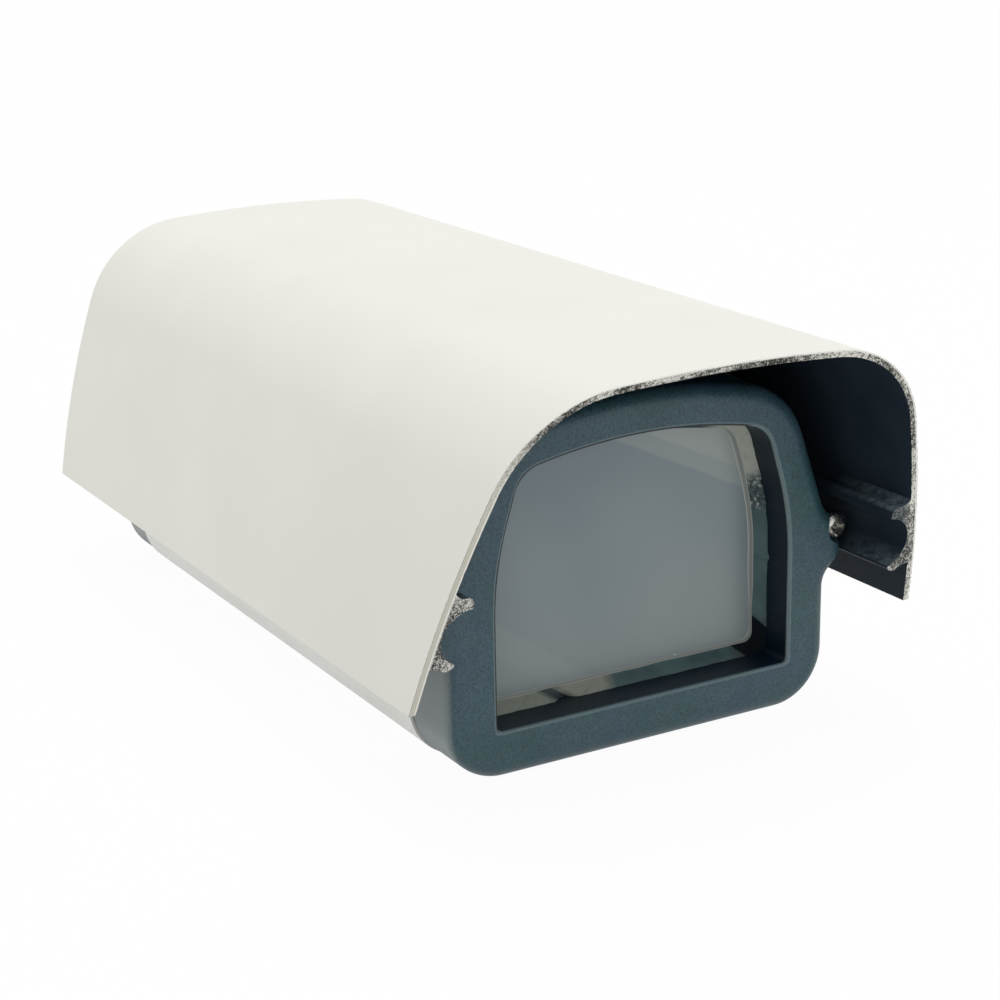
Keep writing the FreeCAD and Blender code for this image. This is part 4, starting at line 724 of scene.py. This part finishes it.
def shieldHalf(depth, low):
    # the right half's outline at a depth into the wall, from a height up to the middle of the crown
    side, corner, crown, bend, shoulder = shieldArcs()
    count = shield["points"]
    radius = shield["sideRadius"] - depth
    return np.concatenate([
        arcLine(side, radius, sideAngle(side, radius, low), bend, count["side"]),
        arcLine(corner, shield["cornerRadius"] - depth, bend, shoulder, count["corner"])[1:],
        arcLine(crown, shield["crownRadius"] - depth, shoulder, 90, count["crown"])[1:]])


def railLine():
    # the inner wall from the base past the lower lip, the round channel and the upper lip
    s = shield
    side = shieldArcs()[0]
    inner = s["sideRadius"] - s["wall"]
    below = arcLine(side, inner, sideAngle(side, inner, s["base"]),
                    sideAngle(side, inner, s["lowerRoot"]), s["points"]["base"])
    reachLow = s["lowerLipEnd"] - s["railAcross"]
    reachHigh = s["upperLipEnd"] - s["railAcross"]
    lowAngle = -math.degrees(math.acos(reachLow / s["channelRadius"]))
    highAngle = math.degrees(math.acos(reachHigh / s["channelRadius"]))
    middle = (s["railAcross"], s["railHeight"])
    channel = arcLine(middle, s["channelRadius"], lowAngle, highAngle, s["points"]["channel"])
    wallHere = side[0] + np.sqrt(inner ** 2 - (channel[:, 1] - side[1]) ** 2)
    channel[:, 0] = np.minimum(channel[:, 0], wallHere)
    root = [side[0] + math.sqrt(inner ** 2 - (s["upperRoot"] - side[1]) ** 2), s["upperRoot"]]
    lip = [below[-1], [s["heelAcross"] + s["lipCorner"], s["heelLow"] + s["lipCorner"]],
           [s["heelAcross"], s["heelLow"]], [s["lowerLipEnd"], s["lowerLipLow"]], channel[0]]
    upper = [channel[-1], [s["upperLipEnd"], s["upperLipTop"] - s["lipCorner"]],
             [s["upperLipEnd"] + s["lipCorner"], s["upperLipTop"]],
             [s["upperValley"], s["upperLipTop"]], root]
    return np.concatenate([below[:-1], softCorners(lip, s["edgeRounding"]), channel[1:-1],
                           softCorners(upper, s["edgeRounding"])])


def shieldLoop():
    # the closed profile, the outside first, and how many of its points are on the outside
    s = shield
    outerHalf = evenly(shieldHalf(0, s["base"]), s["spacing"])
    innerHalf = evenly(np.concatenate([railLine(), shieldHalf(s["wall"], s["upperRoot"])[1:]]),
                       s["spacing"])
    flip = np.array([-1.0, 1.0])
    outer = np.concatenate([outerHalf * flip, outerHalf[::-1][1:]])
    inner = np.concatenate([innerHalf, (innerHalf * flip)[::-1][1:]])
    return np.concatenate([outer, inner]), len(outer)


def makeSunshield():
    # The closed profile is carried straight back along Y; its front ring follows the slanted
    # saw plane and wanders a little, as a torn edge does
    s = shield
    loop, outerCount = shieldLoop()
    count = len(loop)
    around, length = alongLoop(loop)
    burr = s["burr"] * (1 + wander(around, length, s["burrLength"], 3)) / 2
    front = s["front"] - (loop[:, 1] - s["base"]) * math.tan(math.radians(s["slant"]))
    stations = [front + np.clip(burr, 0, None)] + [front + behind for behind in s["ringsBehindCut"]]
    stations.append(np.full(count, s["rear"]))
    depth = np.stack(stations)
    rings = len(depth)
    points = np.stack([np.broadcast_to(loop[:, 0], depth.shape), depth,
                       np.broadcast_to(loop[:, 1], depth.shape)], -1).reshape(-1, 3)
    sides = gridFaces(rings, count, closeColumns=True)[:, ::-1]
    frontFace = list(range(count))[::-1]
    rearFace = list(range((rings - 1) * count, rings * count))
    piece = addPiece("sunshield_skin", points, sides.tolist() + [frontFace, rearFace],
                     [finishes["shieldPaint"], finishes["inside"], finishes["sawn"]])
    column = np.tile(np.arange(count), rings - 1)
    slots = np.concatenate([np.where(column < outerCount, 0, 1), [2, 2]])
    piece.data.polygons.foreach_set("material_index", slots.astype(np.int32))
    distance = (depth - front).reshape(-1)
    addVertexMap(piece, "fromSawCut", np.stack([np.tile(around, rings), distance], 1) * mm)
    piece.data.update()
    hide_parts("sunshield")
    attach(piece, "shield")


makeSunshield()
print("sunshield made")


# Sealant bead: laid by hand in the corner between the glass and the opening's wall
bead = {
    "face": -69.1, "halfWidth": 30.7, "base": 9.35, "knee": 37.9, "kneeRadius": 56.0, "lean": 17.1,
    "shoulderRadius": 6.3, "top": 57.9, "crownRadius": 106.0, "footRadius": 1.2, "filmFoot": 2.4,
    "wallGap": 0.05, "width": 2.15, "film": 3.35, "height": 1.65, "filmHeight": 0.08,
    # A hair's width that keeps the bead off the pane and the film from vanishing
    "hair": 0.02,
    "wanderLength": 16.0, "wanderWidth": 0.07, "wanderHeight": 0.04,
    # How many points each stretch of half the outline takes
    "points": {"foot": 100, "corner": 16, "side": 60, "knee": 50, "lean": 16, "shoulder": 40, "crown": 70},
    # The bead's section: at the wall it is full height from this share of its width on, then its
    # height falls at these shares of its width to these shares of its full height
    "wallShare": 0.02, "across": (0.12, 0.3, 0.5, 0.7, 0.88), "rises": (0.94, 0.8, 0.6, 0.38, 0.18),
    # The wiped film has a share of its full width on the foot and all of it on the right side. It
    # starts and is full at these distances from the middle, and goes over from the foot's share
    # to the right side's between these heights above the base
    "filmAcross": (0.0, 0.1, 0.5, 0.9), "footShare": 0.5, "filmFrom": 22.0, "filmFull": 26.0,
    "footTo": 4.8, "sideFrom": 14.4,
    # The lower right corner is painted black, as painted shade: where, and how far it reaches
    "blackAt": (30.7, 9.35), "blackReach": 4.6,
    # Places where it was cut, chipped or heaped: across and up, how long, how far it leans along
    # the bead from wall to glass, and the change of its height as a share
    "marks": [
        {"at": (-12.9, 9.35), "length": 1.5, "lean": -3.2, "change": -1.0},
        {"at": (29.0, 42.8), "length": 0.5, "lean": 0.0, "change": -0.3},
        {"at": (30.7, 28.0), "length": 0.7, "lean": 0.0, "change": 0.35},
    ],
}


def windowLine(offset, foot):
    # The opening's outline, drawn in by offset, from the middle of the foot round to the left
    # and back: straight foot, upright side, knee arc, leaning side, shoulder arc and crown arc.
    # The shoulder's centre is on the leaning side's inner parallel and touches the crown's circle
    b = bead
    count = b["points"]
    half, low = b["halfWidth"] - offset, b["base"] + offset
    lean = math.radians(b["lean"])
    bend = b["kneeRadius"] - offset
    sideTop = b["knee"] - (offset + bend) * math.tan(lean / 2)
    shoulder, crown = b["shoulderRadius"] - offset, b["crownRadius"] - offset
    middle = b["top"] - b["crownRadius"]
    along = np.array([-math.sin(lean), math.cos(lean)])
    bendEnd = np.array([half - bend * (1 - math.cos(lean)), sideTop + bend * math.sin(lean)])
    start = bendEnd - shoulder * np.array([math.cos(lean), math.sin(lean)]) - np.array([0, middle])
    inner = start @ along
    step = -inner + math.sqrt(inner ** 2 - start @ start + (crown - shoulder) ** 2)
    centre = start + step * along + np.array([0, middle])
    turn = math.degrees(math.atan2(centre[0], centre[1] - middle))
    touch = centre + shoulder * np.array([math.cos(lean), math.sin(lean)])
    right = np.concatenate([
        straightLine([0, low], [half - foot, low], count["foot"])[:-1],
        arcLine((half - foot, low + foot), foot, -90, 0, count["corner"])[:-1],
        straightLine([half, low + foot], [half, sideTop], count["side"])[:-1],
        arcLine((half - bend, sideTop), bend, 0, b["lean"], count["knee"])[:-1],
        straightLine(bendEnd, touch, count["lean"])[:-1],
        arcLine(centre, shoulder, b["lean"], 90 - turn, count["shoulder"])[:-1],
        arcLine((0, middle), crown, 90 - turn, 90, count["crown"])])
    return np.concatenate([right[:-1], (right * np.array([-1.0, 1.0]))[::-1][:-1]])


def beadSection(outline, along, length):
    # Rows of the section, each with its distance from the wall and its height off the glass at
    # every point of the outline, and its place across for the material: 0 at the wall, 1 where
    # the bead ends and 2 where the film ends. Width and height wander along the loop
    b = bead
    slow = wander(along, length, b["wanderLength"], 11)
    quick = wander(along, length, b["wanderLength"] / 4, 12)
    width = b["width"] + b["wanderWidth"] * slow
    height = b["height"] * (1 + b["wanderHeight"] * (slow + quick))
    zero = np.zeros(len(outline))
    flat = np.full(len(outline), b["filmHeight"])
    onRight = np.clip((outline[:, 0] - b["filmFrom"]) / (b["filmFull"] - b["filmFrom"]), 0, 1)
    above = outline[:, 1] - b["base"]
    onFoot = np.clip((b["sideFrom"] - above) / (b["sideFrom"] - b["footTo"]), 0, 1)
    filmShare = onFoot * b["footShare"] + (1 - onFoot) * onRight
    least = width + b["hair"]
    reach = least + (b["film"] - least) * filmShare
    section = [(zero, zero, 0.0), (zero, height, b["wallShare"])]
    section += [(share * width, rise * height, share) for share, rise in zip(b["across"], b["rises"])]
    section += [((1 - share) * width + share * reach, flat, 1 + share) for share in b["filmAcross"]]
    section.append((reach, zero, 2.0))
    return section


def markedRise(rise, place, along, length, starts):
    # each mark changes the height of the bead, but not of the film, by a share that falls off
    # along the loop as a bell curve does, and it leans as it crosses the bead
    for mark, start in zip(bead["marks"], starts):
        gap = along - start - mark["lean"] * min(place, 1.0)
        gap = (gap + length / 2) % length - length / 2
        rise = rise * (1 + mark["change"] * np.exp(-(gap / mark["length"]) ** 2) * (place < 1))
    return rise


def makeBead():
    # Each row of the section is carried round between two outlines, one at the wall and one at
    # the film's edge: a point lies between the two by its distance from the wall
    b = bead
    outline = windowLine(b["wallGap"], b["footRadius"])
    inner = windowLine(b["film"], b["filmFoot"])
    count = len(outline)
    along, length = alongLoop(outline)
    starts = [along[np.argmin(np.linalg.norm(outline - mark["at"], axis=1))] for mark in b["marks"]]
    section = beadSection(outline, along, length)
    rows = []
    for out, rise, place in section:
        share = (out / b["film"])[:, None]
        rise = markedRise(rise, place, along, length, starts)
        rows.append(np.stack([*(outline * (1 - share) + inner * share).T, -rise], 1))
    points = np.stack(rows)[..., [0, 2, 1]].reshape(-1, 3)
    points[:, 1] += b["face"] - b["hair"]
    faces = gridFaces(len(section), count, closeRows=True, closeColumns=True)
    piece = addPiece("glass_seal_bead", points, faces.tolist(),
                     [finishes["sealant"], finishes["paintedShadeSealant"]], 50)
    places = np.array([place for out, rise, place in section])
    black = np.linalg.norm(outline - b["blackAt"], axis=1) < b["blackReach"]
    slots = np.outer(places < 1, black).astype(np.int32)
    piece.data.polygons.foreach_set("material_index", slots.ravel())
    uv = np.stack([np.tile(along * mm, len(section)), np.repeat(places, count)], 1)
    addVertexMap(piece, "acrossBead", uv)
    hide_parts("glass_seal")
    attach(piece, "housing")


makeBead()
print("sealant bead made")


# Camera at the photograph's place, its angles in degrees
camera = {
    "place": (-205.18, -383.50, 160.86), "azimuth": 29.837, "elevation": -17.303, "roll": -0.992,
    "lens": 80.418, "sensor": 36.0, "clipStart": 10.0,
}


def makeCamera():
    data = bpy.data.cameras.new("camera")
    data.sensor_width = camera["sensor"]
    data.lens = camera["lens"]
    data.clip_start = camera["clipStart"] * mm
    piece = bpy.data.objects.new("camera", data)
    bpy.context.scene.collection.objects.link(piece)
    turn, rise = math.radians(camera["azimuth"]), math.radians(camera["elevation"])
    look = Vector((math.sin(turn) * math.cos(rise), math.cos(turn) * math.cos(rise), math.sin(rise)))
    piece.rotation_mode = "QUATERNION"
    roll = Quaternion((0, 0, 1), math.radians(camera["roll"]))
    piece.rotation_quaternion = look.to_track_quat("-Z", "Y") @ roll
    piece.location = Vector(camera["place"]) * mm
    bpy.context.scene.camera = piece


# Stage, in metres but for the floor's drop: a white floor that keeps a soft shadow, a white
# background and one large soft lamp
stage = {
    "floorSize": 6.0, "floorDrop": 0.3, "floorColour": "#fafaf8", "floorGlow": 0.96, "worldLevel": 0.67,
    "white": (1, 1, 1, 1), "lampName": "key", "lampPlace": (0.1, 0.0, 1.6), "lampAim": (0, 0, 0.04),
    "lampSize": 1.0, "lampWatts": 8.8,
}


def backgroundRays(tree):
    # 1 for camera, glossy and transmission rays, which see the white background
    path = addNode(tree, "LightPath").outputs
    seen = addNode(tree, "Math", {
        "operation": "MAXIMUM", 0: path["Is Camera Ray"], 1: path["Is Glossy Ray"]})
    return addNode(tree, "Math", {"operation": "MAXIMUM", 0: seen, 1: path["Is Transmission Ray"]})


def makeFloor():
    # Pale and matt, and nearly white to the rays that see the background; it lies a hair below the
    # tube, so that the two faces never fight, and is clear when it is looked at from below
    half, low = stage["floorSize"] / 2, -stage["floorDrop"] * mm
    mesh = bpy.data.meshes.new("floor")
    mesh.from_pydata([(-half, -half, low), (half, -half, low), (half, half, low), (-half, half, low)],
                     [], [(0, 1, 2, 3)])
    floor = bpy.data.objects.new("floor", mesh)
    bpy.context.scene.collection.objects.link(floor)
    material, tree, shader = newMaterial("Pale floor", {
        "Base Color": stage["floorColour"], "Roughness": 0.9, "Specular IOR Level": 0.2})
    glow = addNode(tree, "Emission", {"Color": stage["white"], "Strength": 1.0})
    share = addNode(tree, "Math", {
        "operation": "MULTIPLY", 0: backgroundRays(tree), 1: stage["floorGlow"]})
    mixed = addNode(tree, "MixShader", {0: share, 1: shader, 2: glow})
    under = addNode(tree, "NewGeometry").outputs["Backfacing"]
    whole = addNode(tree, "MixShader", {0: under, 1: mixed, 2: addNode(tree, "BsdfTransparent")})
    setNode(tree, tree.nodes["Material Output"], {"Surface": whole})
    mesh.materials.append(material)


def makeWorld():
    # a plain level for the light, and full white for the rays that see the background
    world = bpy.data.worlds.new("studio")
    bpy.context.scene.world = world
    world.use_nodes = True
    tree = world.node_tree
    plain = tree.nodes["Background"]
    setNode(tree, plain, {"Color": stage["white"], "Strength": stage["worldLevel"]})
    white = addNode(tree, "Background", {"Color": stage["white"], "Strength": 1.0})
    mixed = addNode(tree, "MixShader", {0: backgroundRays(tree), 1: plain, 2: white})
    setNode(tree, tree.nodes["World Output"], {"Surface": mixed})


def makeLamp():
    data = bpy.data.lights.new(stage["lampName"], "AREA")
    data.shape = "DISK"
    data.size = stage["lampSize"]
    data.energy = stage["lampWatts"]
    piece = bpy.data.objects.new(stage["lampName"], data)
    piece.location = stage["lampPlace"]
    piece.rotation_mode = "QUATERNION"
    aim = Vector(stage["lampAim"]) - Vector(stage["lampPlace"])
    piece.rotation_quaternion = aim.to_track_quat("-Z", "Y")
    bpy.context.scene.collection.objects.link(piece)


makeCamera()
makeFloor()
makeWorld()
makeLamp()
bpy.context.scene.view_settings.view_transform = "Standard"
print("camera and stage set")
